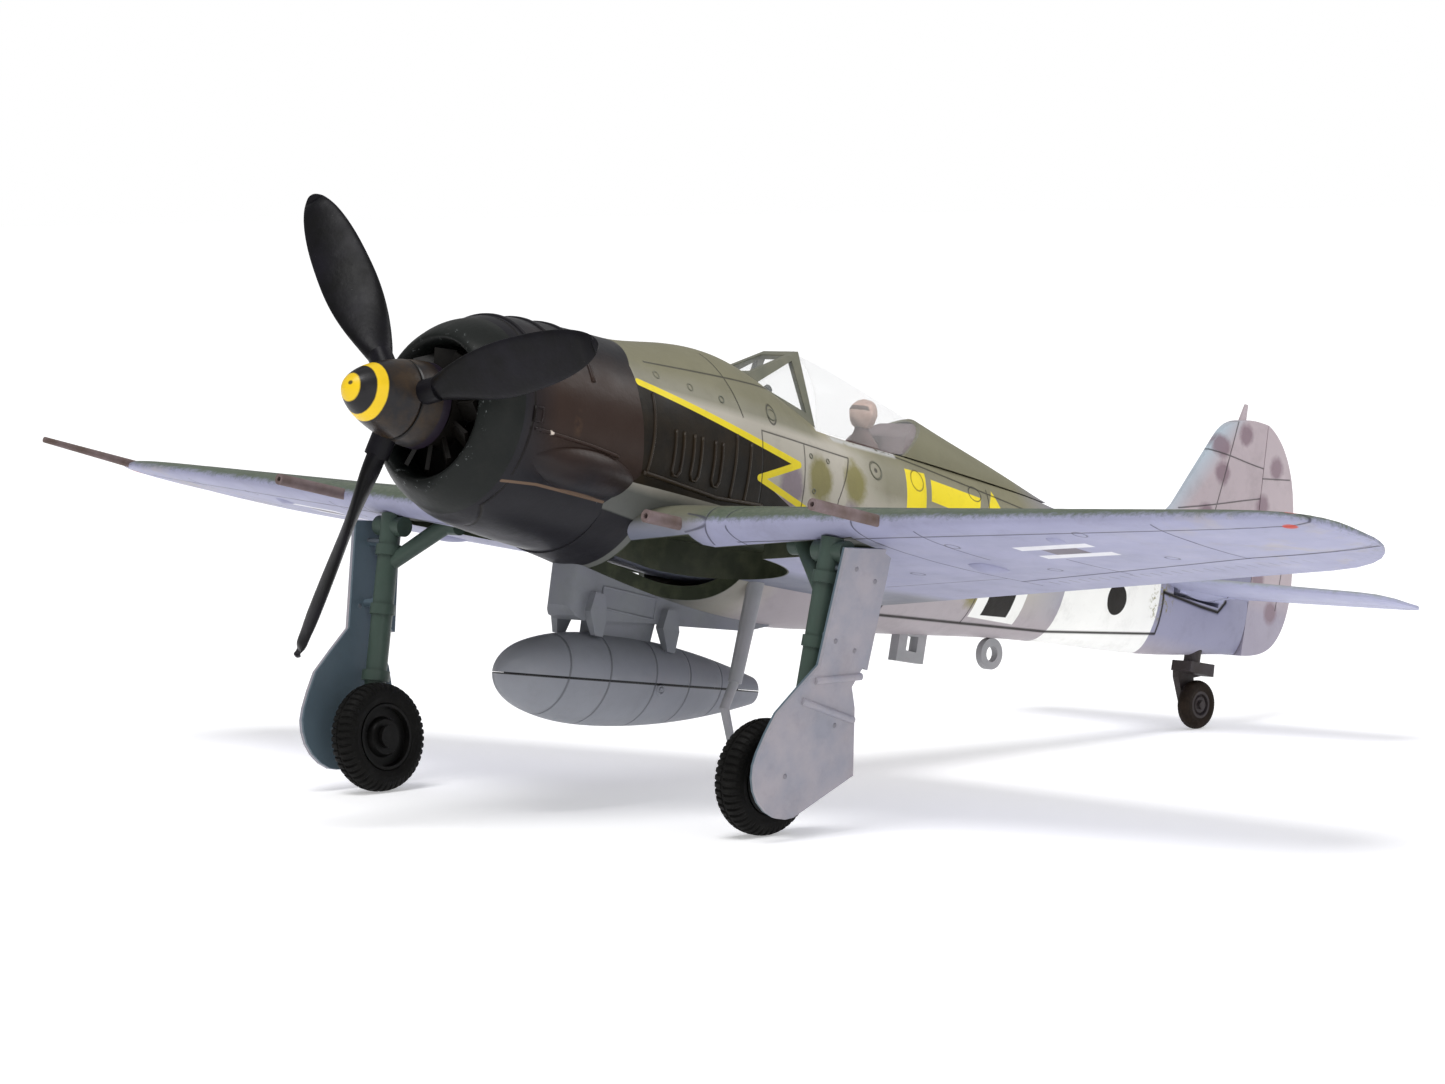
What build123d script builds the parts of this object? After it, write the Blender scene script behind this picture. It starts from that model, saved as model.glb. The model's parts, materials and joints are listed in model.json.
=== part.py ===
from build123d import *

import os
from math import asin, atan2, copysign, cos, degrees, hypot, pi, radians, sin, sqrt, tan

# A 1:72 scale model of a single-engined piston fighter on its wheels, in millimetres.
# It is modelled in flight attitude: +X is the port side, +Y runs aft from the spinner's tip
# and +Z is up, with the propeller's axis along Y. The finished pieces are then tipped
# tail-down onto the ground, with the origin on the ground under the middle of the model.

# ---------------------------------------------------------------- driving dimensions
HALF_SPAN = 72.9
SHELL_WALL = 1.1

# propeller, spinner and fan, all on one shaft
PROPELLER_RADIUS = 23.0
PROPELLER_Y = 5.9
BLADE_ANGLES = (131.5, 12.5, 250.8)
BLADE_SHANK_RADIUS = 1.05
SPINNER_LENGTH = 8.4
HUB_FRONT_Y = 4.6
HUB_REAR_Y = 7.6
HUB_RADIUS = 2.2
SHAFT_RADIUS = 0.8
SHAFT_CLEARANCE = 0.05
FAN_BLADES = 12
FAN_RADIUS = 5.1
FAN_FRONT_Y = 9.0
FAN_REAR_Y = 10.9

# engine cowling; its rear edge is stepped, as (distance aft, height)
COWL_FRONT_Y = 12.4
COWL_REAR_EDGE = (
    (24.6, -20.0), (23.3, -6.0), (22.9, -5.2), (25.4, -2.3), (24.9, 0.6), (24.5, 4.0), (24.6, 6.8),
    (26.4, 9.7), (26.4, 20.0),
)
COWL_SEAM_Z = -5.3
INTAKE_RADIUS = 5.55
BULKHEAD_Y = 13.4

# main wheels and tail wheel: axle centres in flight attitude
WHEEL_RADIUS = 4.8
WHEEL_CENTRE = (23.9, 30.25, -25.85)
WHEEL_CANT = 5.0
TYRE_WIDTH = 2.6
RIM_RADIUS = 2.9
AXLE_RADIUS = 0.6
TAIL_WHEEL_RADIUS = 2.35
TAIL_WHEEL_CENTRE = (0.0, 111.87, -8.77)
TAIL_TYRE_WIDTH = 1.3
TAIL_RIM_RADIUS = 1.3
TAIL_AXLE_RADIUS = 0.4
TAIL_PIVOT_Y = 110.3
TAIL_PIVOT_RADIUS = 0.8

# the fuselage: (y, half width, top, bottom, widest height, squareness)
BODY_SECTIONS = (
    (20.0, 9.40, 9.30, -9.5, 0.0, 2.00),
    (27.0, 9.40, 9.55, -10.0, 0.0, 2.00),
    (34.0, 9.05, 10.6, -10.9, -0.3, 2.05),
    (40.5, 8.50, 10.4, -11.4, -0.7, 2.15),
    (45.5, 8.05, 9.0, -11.5, -0.95, 2.20),
    (50.5, 7.55, 7.75, -11.3, -1.1, 2.20),
    (58.0, 6.85, 7.75, -10.4, -1.1, 2.20),
    (66.0, 6.05, 7.65, -9.4, -1.0, 2.20),
    (76.0, 5.05, 7.0, -8.0, -0.8, 2.15),
    (86.0, 4.10, 5.95, -6.8, -0.5, 2.10),
    (97.0, 3.10, 5.3, -5.9, -0.1, 2.05),
    (107.0, 2.15, 4.8, -4.7, 0.3, 2.00),
    (116.0, 1.25, 4.4, -3.25, 0.6, 2.00),
)
OUTLINE_POINTS = 28
HOLLOW_START_Y = 15.0
HOLLOW_END_Y = 98.0
DECK_Z = 6.0
HINGE_Y = 116.0
HINGE_GAP = 0.15
CENTRE_SEAM_Y = 27.5
BELLY_JOINT_Y = 61.0
TAIL_JOINT_Y = 102.0
FAR = 30.0

# cockpit glazing: hood sections are (y, half width, top)
RAIL_GAP = 0.12
ARCH_Y = 49.2
GLASS = 0.35
HOOD_SECTIONS = (
    (49.55, 5.00, 13.25),
    (53.5, 4.85, 12.85),
    (57.7, 4.60, 12.05),
    (62.0, 4.30, 11.15),
    (66.5, 3.95, 10.15),
    (72.0, 3.35, 9.00),
    (77.0, 2.60, 8.00),
    (82.0, 1.50, 6.95),
    (85.4, 0.55, 6.30),
)
HOOD_SQUARENESS = 1.75

# wing: leading edge, trailing edge and height as straight lines in the distance out
WING_LE_Y = 26.1
WING_SWEEP = 0.0929
WING_TE_Y = 61.2
WING_TE_SWEEP = -0.157
WING_Z = -6.60
WING_DIHEDRAL = 0.0635
WING_INCIDENCE = 2.0
WING_CAMBER = 0.018
ROOT_THICKNESS = 0.150
TIP_THICKNESS = 0.090
TIP_START_X = 62.0
TIP_MIDDLE_Y = 41.0
TIP_FRONT_POWER = 4.0
TIP_REAR_POWER = 2.0
SKIN_INSERT = 0.9

# tailplane
TAILPLANE_HALF_SPAN = 25.35
TAILPLANE_LE_Y = 101.3
TAILPLANE_SWEEP = 0.16
TAILPLANE_TE_Y = 112.9
TAILPLANE_Z = 1.9
TAILPLANE_ROOT_X = 1.5
TAILPLANE_TIP_START_X = 22.4
TAILPLANE_TIP_MIDDLE_Y = 110.3
TAILPLANE_TIP_POWER = 2.4
TAILPLANE_THICKNESS = 0.11

# wheel bays: a round well for each wheel, squared off in front, and a slot outboard for the leg
BAY_CENTRE = (8.6, 35.2)
BAY_RADIUS = 6.8
BAY_INNER_X = 1.9
BAY_FRONT_Y = 28.2
BAY_SLOT_X = (13.0, 29.0)
BAY_SLOT_Y = (30.8, 34.8)
BAY_ROOF_Z = -5.9

# drop tank, hanging with its nose down, and the rack that carries it
TANK_NOSE = (0.0, 21.2, -20.1)
TANK_LENGTH = 30.0
TANK_RADIUS = 3.95
TANK_FULLEST = 0.36
TANK_PITCH = 6.0
TANK_SEAM = 0.06
RACK_HALF_WIDTH = 1.75
BRACE_STATIONS = (29.3, 38.0)


# ---------------------------------------------------------------- shared shapes
def signed_power(value, power):
    return copysign(abs(value) ** power, value)


def ring_points(half_width, top, bottom, middle, squareness):
    """A superellipse with different upper and lower heights, as points in X and Z."""
    points = []
    for step in range(OUTLINE_POINTS):
        turn = 2 * pi * step / OUTLINE_POINTS
        across = half_width * signed_power(cos(turn), 2 / squareness)
        rise = signed_power(sin(turn), 2 / squareness)
        height = middle + rise * ((top - middle) if rise > 0 else (middle - bottom))
        points.append((across, height))
    return points


def station(y):
    """The plane across the model at a distance aft, with X across and Z up."""
    return Plane.XZ.offset(-y)


def lofted_body(inset):
    """The fuselage form, or its hollow when an inset is given."""
    with BuildPart() as form:
        for y, half_width, top, bottom, middle, squareness in BODY_SECTIONS:
            outline = ring_points(
                half_width - inset, top - inset, bottom + inset, middle, squareness
            )
            with BuildSketch(station(y)):
                with BuildLine():
                    Spline(*outline, periodic=True)
                make_face()
        loft()
    return form.part


def side_block(*points, depth=FAR):
    """A block whose outline is drawn in side view (Y, Z) and which spans the model's width."""
    with BuildPart() as block:
        with BuildSketch(Plane.YZ):
            with BuildLine():
                Polyline(*points, close=True)
            make_face()
        extrude(amount=depth, both=True)
    return block.part


def plan_block(low, high, *points):
    """A block whose outline is drawn in plan (X, Y), between two heights."""
    with BuildPart() as block:
        with BuildSketch(Plane.XY.offset(low)):
            with BuildLine():
                Polyline(*points, close=True)
            make_face()
        extrude(amount=high - low)
    return block.part


def rod(start, end, radius, end_radius=None):
    """A round bar between two points, tapered when an end radius is given."""
    line = Vector(*end) - Vector(*start)
    with BuildPart() as bar:
        with BuildSketch(Plane(origin=start, z_dir=line)):
            Circle(radius)
        if end_radius is None:
            extrude(amount=line.length)
        else:
            with BuildSketch(Plane(origin=end, z_dir=line)):
                Circle(end_radius)
            loft()
    return bar.part


def lathe(profile, origin=(0, 0, 0), axis=(0, 1, 0)):
    """A body of revolution from (distance along, radius) points."""
    across = Vector(0, 0, 1) if abs(Vector(*axis).normalized().Z) < 0.9 else Vector(1, 0, 0)
    face = Plane(origin=origin, x_dir=axis, z_dir=Vector(*axis).cross(across))
    with BuildPart() as turned:
        with BuildSketch(face):
            with BuildLine():
                Polyline(*profile, close=True)
            make_face()
        revolve(axis=Axis(origin, axis))
    return turned.part


def turned(outside, inside, origin=(0, 0, 0), axis=(0, 1, 0)):
    """A body of revolution with a smoothly curved outside and a straight-edged inside."""
    across = Vector(0, 0, 1)
    face = Plane(origin=origin, x_dir=axis, z_dir=Vector(*axis).cross(across))
    with BuildPart() as turned_body:
        with BuildSketch(face):
            with BuildLine():
                Spline(*outside)
                Polyline(outside[-1], *inside, outside[0])
            make_face()
        revolve(axis=Axis(origin, axis))
    return turned_body.part


def along(start, end, share):
    """A point part of the way from one point to another."""
    return tuple(a + (b - a) * share for a, b in zip(start, end))


def keep_largest(builder):
    """Drop the offcuts that a subtraction leaves beside the main solid."""
    add(max(builder.part.solids(), key=lambda solid: solid.volume), mode=Mode.REPLACE)


def keep_foremost(builder):
    add(min(builder.part.solids(), key=lambda solid: solid.center().Y), mode=Mode.REPLACE)


def keep_lowest(builder):
    add(min(builder.part.solids(), key=lambda solid: solid.center().Z), mode=Mode.REPLACE)


def airfoil(chord, thickness, nose, incidence=0.0, camber=0.0):
    """A wing section with a blunt trailing edge, drawn along its first axis."""
    stations = (1.0, 0.85, 0.65, 0.45, 0.28, 0.15, 0.07, 0.025, 0.005)
    crest = 0.3
    thinnest = 0.12
    slope = sin(radians(incidence))

    def middle(s):
        run = (s - crest) / (1 - crest) if s > crest else (crest - s) / crest
        return nose[1] - slope * s * chord + camber * chord * (1 - run**2)

    def half(s):
        shape = 1.4845 * sqrt(s) - 0.63 * s - 1.758 * s**2 + 1.4215 * s**3 - 0.5075 * s**4
        return max(shape * thickness * chord, thinnest)

    upper = [(nose[0] + s * chord, middle(s) + half(s)) for s in stations]
    lower = [(nose[0] + s * chord, middle(s) - half(s)) for s in stations]
    with BuildSketch() as section:
        with BuildLine():
            Spline(*upper, nose, *reversed(lower))
            Line(lower[0], upper[0])
        make_face()
    return section.sketch


def tip_share(x, start, end, power):
    """How much of the straight planform is left at a distance out, along a superellipse."""
    nearly_all = 0.999
    run = min(max((x - start) / (end - start), 0), nearly_all)
    return (1 - run**power) ** (1 / power)


def wing_chord(x):
    """Leading and trailing edge of the wing at a distance out, with the rounded tip."""
    front = WING_LE_Y + WING_SWEEP * x
    rear = WING_TE_Y + WING_TE_SWEEP * x
    ahead = tip_share(x, TIP_START_X, HALF_SPAN, TIP_FRONT_POWER)
    behind = tip_share(x, TIP_START_X, HALF_SPAN, TIP_REAR_POWER)
    return TIP_MIDDLE_Y - (TIP_MIDDLE_Y - front) * ahead, TIP_MIDDLE_Y + (rear - TIP_MIDDLE_Y) * behind


def tailplane_chord(x):
    front = TAILPLANE_LE_Y + TAILPLANE_SWEEP * x
    left = tip_share(x, TAILPLANE_TIP_START_X, TAILPLANE_HALF_SPAN, TAILPLANE_TIP_POWER)
    middle = TAILPLANE_TIP_MIDDLE_Y
    return middle - (middle - front) * left, middle + (TAILPLANE_TE_Y - middle) * left


def panel(edges, section, *spreads):
    """A wing or tailplane lofted through its sections, in one or more straight runs."""
    with BuildPart() as surface:
        for spread in spreads:
            for x in spread:
                with BuildSketch(Plane.YZ.offset(x)):
                    add(section(x, *edges(x)))
            loft(ruled=True)
    return surface.part


def wing_section(x, front, rear):
    thickness = ROOT_THICKNESS + (TIP_THICKNESS - ROOT_THICKNESS) * x / HALF_SPAN
    nose = (front, WING_Z + WING_DIHEDRAL * x)
    return airfoil(rear - front, thickness, nose, WING_INCIDENCE, WING_CAMBER)


def tailplane_section(x, front, rear):
    return airfoil(rear - front, TAILPLANE_THICKNESS, (front, TAILPLANE_Z))


# ---------------------------------------------------------------- forms shared by several pieces
body = lofted_body(0.0)
behind_cowl = side_block(*COWL_REAR_EDGE, (160, 20), (160, -20))

with BuildPart() as wing_form:
    add(panel(
        wing_chord, wing_section, (0.0, 14.0, 34.0, TIP_START_X),
        (TIP_START_X, 65.0, 67.5, 69.5, 71.0, 72.0, 72.5, 72.8),
    ))
    mirror(about=Plane.YZ)

with BuildPart() as body_shell:
    add(body)
    add(
        lofted_body(SHELL_WALL)
        & side_block((HOLLOW_START_Y, -20), (HOLLOW_END_Y, -20), (HOLLOW_END_Y, 20), (HOLLOW_START_Y, 20)),
        mode=Mode.SUBTRACT,
    )
    add(behind_cowl, mode=Mode.INTERSECT)

belly_seam = side_block(
    (BELLY_JOINT_Y, -20), (BELLY_JOINT_Y, -8.3), (86.0, -5.8), (TAIL_JOINT_Y, -3.4), (TAIL_JOINT_Y, -20)
)
centre_seam = side_block(
    (CENTRE_SEAM_Y, -20), (CENTRE_SEAM_Y, -7.0), (BELLY_JOINT_Y, -7.6), (BELLY_JOINT_Y, -20)
)
hood_end_y = HOOD_SECTIONS[-1][0] + 1
hood_deck = side_block((ARCH_Y, DECK_Z), (ARCH_Y, 20), (hood_end_y, 20), (90, DECK_Z))
cockpit_well = plan_block(
    -4.0, 20.0, (-3.3, 43.6), (3.3, 43.6), (4.1, 49.5), (3.3, 66.0), (-3.3, 66.0), (-4.1, 49.5)
)
tail_slot = side_block((103.2, 0.6), (103.2, 2.9), (111.0, 2.9), (111.0, 0.6))
swivel_hole = rod(
    (0, TAIL_PIVOT_Y, -9.0), (0, TAIL_PIVOT_Y, -2.0), TAIL_PIVOT_RADIUS + SHAFT_CLEARANCE
)

with BuildPart() as bays:
    with BuildSketch(Plane.XY.offset(-14.0)):
        with Locations(BAY_CENTRE):
            Circle(BAY_RADIUS)
        front_length = BAY_CENTRE[1] - BAY_FRONT_Y
        with Locations(((BAY_INNER_X + BAY_SLOT_X[0]) / 2, BAY_FRONT_Y + front_length / 2)):
            Rectangle(BAY_SLOT_X[0] - BAY_INNER_X, front_length)
        with Locations((sum(BAY_SLOT_X) / 2, sum(BAY_SLOT_Y) / 2)):
            Rectangle(BAY_SLOT_X[1] - BAY_SLOT_X[0], BAY_SLOT_Y[1] - BAY_SLOT_Y[0])
    extrude(amount=BAY_ROOF_Z + 14.0)
    mirror(about=Plane.YZ)

# ---------------------------------------------------------------- fin and rudder
FIN_LEADING_EDGE = ((98.0, 3.0), (104.0, 9.5), (108.8, 17.0))
FIN_TOP = ((110.3, 18.45), (113.0, 19.4), (HINGE_Y, 19.5))
FIN_SECTIONS = ((2.0, 97.0, 1.25), (9.5, 103.9, 0.95), (20.0, 110.3, 0.55))
RUDDER_FOOT = (HINGE_Y + HINGE_GAP, -3.25)
RUDDER_HEAD = (HINGE_Y + HINGE_GAP, 19.5)
RUDDER_EDGE = (
    (118.6, 18.1), (120.9, 15.0), (122.4, 10.0), (123.3, 5.0), (122.9, 0.9), (121.2, -1.6), (118.6, -2.8)
)

with BuildPart() as fin:
    with BuildSketch(Plane.YZ):
        with BuildLine():
            Polyline((HINGE_Y, 2.0), *FIN_LEADING_EDGE)
            Spline(FIN_LEADING_EDGE[-1], *FIN_TOP)
            Line(FIN_TOP[-1], (HINGE_Y, 2.0))
        make_face()
    extrude(amount=4, both=True)
    with BuildPart(mode=Mode.INTERSECT):
        for z, front, half in FIN_SECTIONS:
            run = HINGE_Y - front
            with BuildSketch(Plane(origin=(0, 0, z), x_dir=(0, 1, 0), z_dir=(0, 0, 1))):
                with BuildLine():
                    Spline(
                        (HINGE_Y, half), (front + 0.45 * run, half * 1.15),
                        (front + 0.12 * run, half * 0.7), (front, 0), (front + 0.12 * run, -half * 0.7),
                        (front + 0.45 * run, -half * 1.15), (HINGE_Y, -half),
                    )
                    Line((HINGE_Y, -half), (HINGE_Y, half))
                make_face()
        loft(ruled=True)

with BuildPart() as rudder:
    with BuildSketch(Plane.YZ):
        with BuildLine():
            Line(RUDDER_FOOT, RUDDER_HEAD)
            Spline(RUDDER_HEAD, *RUDDER_EDGE, RUDDER_FOOT)
        make_face()
    extrude(amount=4, both=True)
    with BuildPart(mode=Mode.INTERSECT):
        for z, half in ((-4.0, 1.15), (4.0, 1.15), (20.0, 0.5)):
            with BuildSketch(Plane.XY.offset(z)):
                with BuildLine():
                    Polyline(
                        (-half, HINGE_Y), (half, HINGE_Y), (0.2, 124.5), (-0.2, 124.5), close=True
                    )
                make_face()
        loft(ruled=True)

# ---------------------------------------------------------------- fuselage pieces
# the casting is everything above the seams, with the fin, open for the cockpit
with BuildPart() as fuselage_casting:
    add(body_shell.part)
    add(fin.part)
    add(wing_form.part, mode=Mode.SUBTRACT)
    for cut in (belly_seam, centre_seam, hood_deck, cockpit_well, tail_slot, swivel_hole):
        add(cut, mode=Mode.SUBTRACT)

SCREW_STATIONS = (45.5, 66.5)
with BuildPart() as screw_form:
    for y in SCREW_STATIONS:
        add(rod((0, y, -12.0), (0, y, -6.0), 0.7))
    add(body, mode=Mode.INTERSECT)

with BuildPart() as belly_insert:
    add(body_shell.part)
    add(belly_seam, mode=Mode.INTERSECT)
    add(screw_form.part, mode=Mode.SUBTRACT)

with BuildPart() as centre_section_pan:
    add(body_shell.part)
    add(centre_seam, mode=Mode.INTERSECT)
    add(wing_form.part, mode=Mode.SUBTRACT)
    add(bays.part, mode=Mode.SUBTRACT)
    add(screw_form.part, mode=Mode.SUBTRACT)

# ---------------------------------------------------------------- wing and tailplane pieces
# a thin insert closes each outer underside; its seams are the wing's own panel breaks
with BuildPart() as wing_underside_port:
    add(wing_form.part)
    add(wing_form.part.moved(Location((0, 0, SKIN_INSERT))), mode=Mode.SUBTRACT)
    add(
        plan_block(-12.0, 3.0, (31.0, 30.6), (31.0, 52.6), (45.0, 50.6), (58.8, 48.2), (58.8, 32.6)),
        mode=Mode.INTERSECT,
    )
    keep_largest(wing_underside_port)

with BuildPart() as wing_underside_starboard:
    mirror(wing_underside_port.part, about=Plane.YZ)

# the pitot tube plugs into a hole in the starboard leading edge
PITOT_TIP = (-69.3, 22.9, -1.75)
PITOT_END = (-69.3, 35.5, -2.1)
with BuildPart() as pitot_tube:
    add(rod(PITOT_TIP, PITOT_END, 0.28, 0.42))

with BuildPart() as wing_casting:
    add(wing_form.part)
    for cut in (bays.part, wing_underside_port.part, wing_underside_starboard.part, pitot_tube.part):
        add(cut, mode=Mode.SUBTRACT)

# each tailplane has a root fairing and a spigot that plugs into the slot in the tail
with BuildPart() as tailplane_port:
    add(panel(
        tailplane_chord, tailplane_section, (TAILPLANE_ROOT_X - 0.6, TAILPLANE_TIP_START_X),
        (TAILPLANE_TIP_START_X, 23.8, 24.7, 25.2, 25.32),
    ))
    with BuildSketch(Plane.YZ.offset(0.9)):
        with Locations((107.0, TAILPLANE_Z)):
            Ellipse(4.6, 1.35)
    with BuildSketch(Plane.YZ.offset(4.2)):
        with Locations((107.4, TAILPLANE_Z)):
            Ellipse(3.6, 0.6)
    loft()
    add(body, mode=Mode.SUBTRACT)
    with BuildSketch(Plane.YZ.offset(0.02)):
        with Locations((107.3, 1.75)):
            Rectangle(6.6, 1.5)
    extrude(amount=2.58)

with BuildPart() as tailplane_starboard:
    mirror(tailplane_port.part, about=Plane.YZ)

with BuildPart() as aerial_mast:
    add(rod((0, 112.6, 19.0), (0, 112.9, 20.9), 0.42, 0.2))
    add(fin.part, mode=Mode.SUBTRACT)

# ---------------------------------------------------------------- cowling and nose
COWL_OUTSIDE = (
    (COWL_FRONT_Y, 8.25), (13.2, 8.6), (14.6, 8.9), (17.0, 9.15), (20.5, 9.35), (24.0, 9.45), (32.0, 9.6),
)
COWL_LINING = ((32.0, 8.7), (20.5, 8.35), (14.6, 7.9), (13.2, 7.6), (COWL_FRONT_Y, 7.2))
BLISTER_OUTSIDE = ((0, 0), (1.5, 1.1), (4.0, 1.95), (7.0, 2.2), (9.5, 1.9), (12.2, 0.8), (13.0, 0))
BLISTER_START = (7.75, 13.4, -2.9)
COWL_INSIDE = ((12, 0), (12, 8.5), (32, 8.5), (32, 0))

with BuildPart() as cowl_shell:
    add(turned(COWL_OUTSIDE, COWL_LINING))
    with BuildPart(mode=Mode.PRIVATE) as blister:
        add(turned(BLISTER_OUTSIDE, (), origin=BLISTER_START))
        add(lathe(COWL_INSIDE), mode=Mode.SUBTRACT)
    add(blister.part)
    mirror(blister.part, about=Plane.YZ)
    add(behind_cowl, mode=Mode.SUBTRACT)
cowl_seam = side_block((10, COWL_SEAM_Z), (30, COWL_SEAM_Z), (30, -15), (10, -15))

with BuildPart() as cowling_upper:
    add(cowl_shell.part)
    add(cowl_seam, mode=Mode.SUBTRACT)

with BuildPart() as cowling_lower:
    add(cowl_shell.part)
    add(cowl_seam, mode=Mode.INTERSECT)

with BuildPart() as nose_ring:
    lip = (
        (COWL_FRONT_Y, INTAKE_RADIUS + 0.25), (10.6, INTAKE_RADIUS), (9.6, 5.75), (9.2, 6.1),
        (9.35, 6.5), (10.0, 7.1), (11.0, 7.75), (COWL_FRONT_Y, 8.25),
    )
    add(turned(lip, ()))

SHAFT_BORE_RADIUS = SHAFT_RADIUS + SHAFT_CLEARANCE
with BuildPart() as engine_bulkhead:
    add(lathe((
        (BULKHEAD_Y, SHAFT_BORE_RADIUS), (BULKHEAD_Y, 7.5), (BULKHEAD_Y + 1, 7.85),
        (BULKHEAD_Y + 1, 3.0), (BULKHEAD_Y + 2, 3.0), (BULKHEAD_Y + 2, SHAFT_BORE_RADIUS),
    )))

# ---------------------------------------------------------------- propeller assembly
SPINNER_PROFILE = (
    (0, 0), (0.12, 0.5), (0.5, 1.05), (1.2, 1.65), (2.2, 2.25), (3.4, 2.75), (4.8, 3.18), (6.4, 3.48),
    (SPINNER_LENGTH, 3.65),
)
SPINNER_HOLLOW = ((1.8, 0), (2.6, 1.3), (4.0, 2.35), (5.2, 2.7), (SPINNER_LENGTH, 2.95))
# blade sections from the root to the widest: (distance out, chord, thickness, pitch)
BLADE_SECTIONS = ((4.3, 1.8, 1.7, 60.0), (6.0, 2.9, 1.5, 54.0), (8.5, 4.0, 1.2, 45.0), (12.5, 4.8, 0.9, 36.0))
# beyond the widest section the blade's plan is a blunt quarter ellipse
BLADE_BLUNTNESS = 2.4
BLADE_THINNING = 0.6
BLADE_OUTER_STEPS = 8
BLADE_OUTER_TURN = 84.0
BLADE_TIP_PITCH = 25.0
hub_centre = Vector(0, PROPELLER_Y, 0)


def blade_axis(angle):
    return Vector(cos(radians(angle)), 0, sin(radians(angle)))


def hub_point(angle, distance):
    return tuple(hub_centre + blade_axis(angle) * distance)


def blade_section_plane(angle, distance, pitch):
    """The plane across a blade, with its x along the twisted chord."""
    forward_edge = Vector(-sin(radians(angle)), 0, cos(radians(angle)))
    chord_line = forward_edge * cos(radians(pitch)) - Vector(0, sin(radians(pitch)), 0)
    return Plane(origin=hub_point(angle, distance), x_dir=chord_line, z_dir=blade_axis(angle))


def outer_sections():
    """The sections from the widest one out to the tip, closer together as the outline rounds over."""
    start, chord, thickness, pitch = BLADE_SECTIONS[-1]
    tip_share = sin(radians(BLADE_OUTER_TURN)) ** (2 / BLADE_BLUNTNESS)
    sections = []
    for step in range(1, BLADE_OUTER_STEPS + 1):
        turn = radians(BLADE_OUTER_TURN * step / BLADE_OUTER_STEPS)
        share = sin(turn) ** (2 / BLADE_BLUNTNESS) / tip_share
        distance = start + (PROPELLER_RADIUS - start) * share
        section_pitch = pitch + (BLADE_TIP_PITCH - pitch) * share
        sections.append((distance, chord * cos(turn), thickness * cos(turn) ** BLADE_THINNING, section_pitch))
    return tuple(sections)


def propeller_blade(angle):
    """One twisted blade with a rounded tip and a round shank."""
    with BuildPart() as blade:
        for distance, chord, thickness, pitch in BLADE_SECTIONS + outer_sections():
            with BuildSketch(blade_section_plane(angle, distance, pitch)):
                Ellipse(chord / 2, thickness / 2)
        loft()
        add(rod(hub_point(angle, 1.6), hub_point(angle, 5.0), BLADE_SHANK_RADIUS))
    return blade.part


shaft_bore = lathe(((0, 0), (0, SHAFT_RADIUS), (20, SHAFT_RADIUS), (20, 0)))

with BuildPart() as spinner:
    add(turned(SPINNER_PROFILE, tuple(reversed(SPINNER_HOLLOW))))
    for angle in BLADE_ANGLES:
        add(rod(hub_point(angle, 2.0), hub_point(angle, 5.0), BLADE_SHANK_RADIUS), mode=Mode.SUBTRACT)

with BuildPart() as propeller:
    add(lathe((
        (HUB_FRONT_Y, SHAFT_RADIUS), (HUB_FRONT_Y, HUB_RADIUS), (HUB_REAR_Y, HUB_RADIUS),
        (HUB_REAR_Y, SHAFT_RADIUS),
    )))
    for angle in BLADE_ANGLES:
        add(propeller_blade(angle))
    add(shaft_bore, mode=Mode.SUBTRACT)

FAN_HUB_RADIUS = 3.1
FAN_VANE_THICKNESS = 0.35
FAN_VANE_MIDDLE_Y = 10.1
with BuildPart() as cooling_fan:
    add(lathe((
        (FAN_FRONT_Y, SHAFT_RADIUS), (FAN_FRONT_Y, FAN_HUB_RADIUS), (FAN_REAR_Y, FAN_HUB_RADIUS),
        (FAN_REAR_Y, SHAFT_RADIUS),
    )))
    for count in range(FAN_BLADES):
        reach = blade_axis(360 * count / FAN_BLADES)
        lean = Vector(-reach.Z, 0, reach.X) * 0.75 - Vector(0, 0.66, 0)
        with BuildPart(mode=Mode.ADD):
            for distance, chord in ((FAN_HUB_RADIUS - 0.3, 1.5), (FAN_RADIUS, 1.9)):
                middle = Vector(0, FAN_VANE_MIDDLE_Y, 0) + reach * distance
                with BuildSketch(Plane(origin=middle, x_dir=lean, z_dir=reach)):
                    Rectangle(chord, FAN_VANE_THICKNESS)
            loft(ruled=True)
    add(shaft_bore, mode=Mode.SUBTRACT)

COLLAR_Y = BULKHEAD_Y + 2.3
COLLAR_RADIUS = 1.6
with BuildPart() as propeller_shaft:
    add(lathe((
        (HUB_FRONT_Y - 0.4, 0), (HUB_FRONT_Y - 0.4, SHAFT_RADIUS), (COLLAR_Y, SHAFT_RADIUS),
        (COLLAR_Y, COLLAR_RADIUS), (COLLAR_Y + 0.8, COLLAR_RADIUS), (COLLAR_Y + 0.8, 0),
    )))

# ---------------------------------------------------------------- guns
ROOT_GUN_MUZZLE = (12.4, 23.6, -5.95)
OUTER_GUN_MUZZLE = (32.9, 21.8, -4.6)


def gun_barrel(muzzle, length, radius):
    """One barrel with its muzzle bored, cut off where it enters the wing."""
    x, y, z = muzzle
    with BuildPart() as barrel:
        add(rod(muzzle, (x, y + length, z + 0.1), radius))
        add(rod((x, y - 0.1, z), (x, y + 0.6, z), radius * 0.45), mode=Mode.SUBTRACT)
        add(wing_form.part, mode=Mode.SUBTRACT)
        keep_foremost(barrel)
    return barrel.part


with BuildPart() as root_gun_barrels:
    add(gun_barrel(ROOT_GUN_MUZZLE, 6.0, 0.55))
    mirror(about=Plane.YZ)

with BuildPart() as outer_gun_barrels:
    add(gun_barrel(OUTER_GUN_MUZZLE, 12.0, 0.5))
    mirror(about=Plane.YZ)

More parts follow.
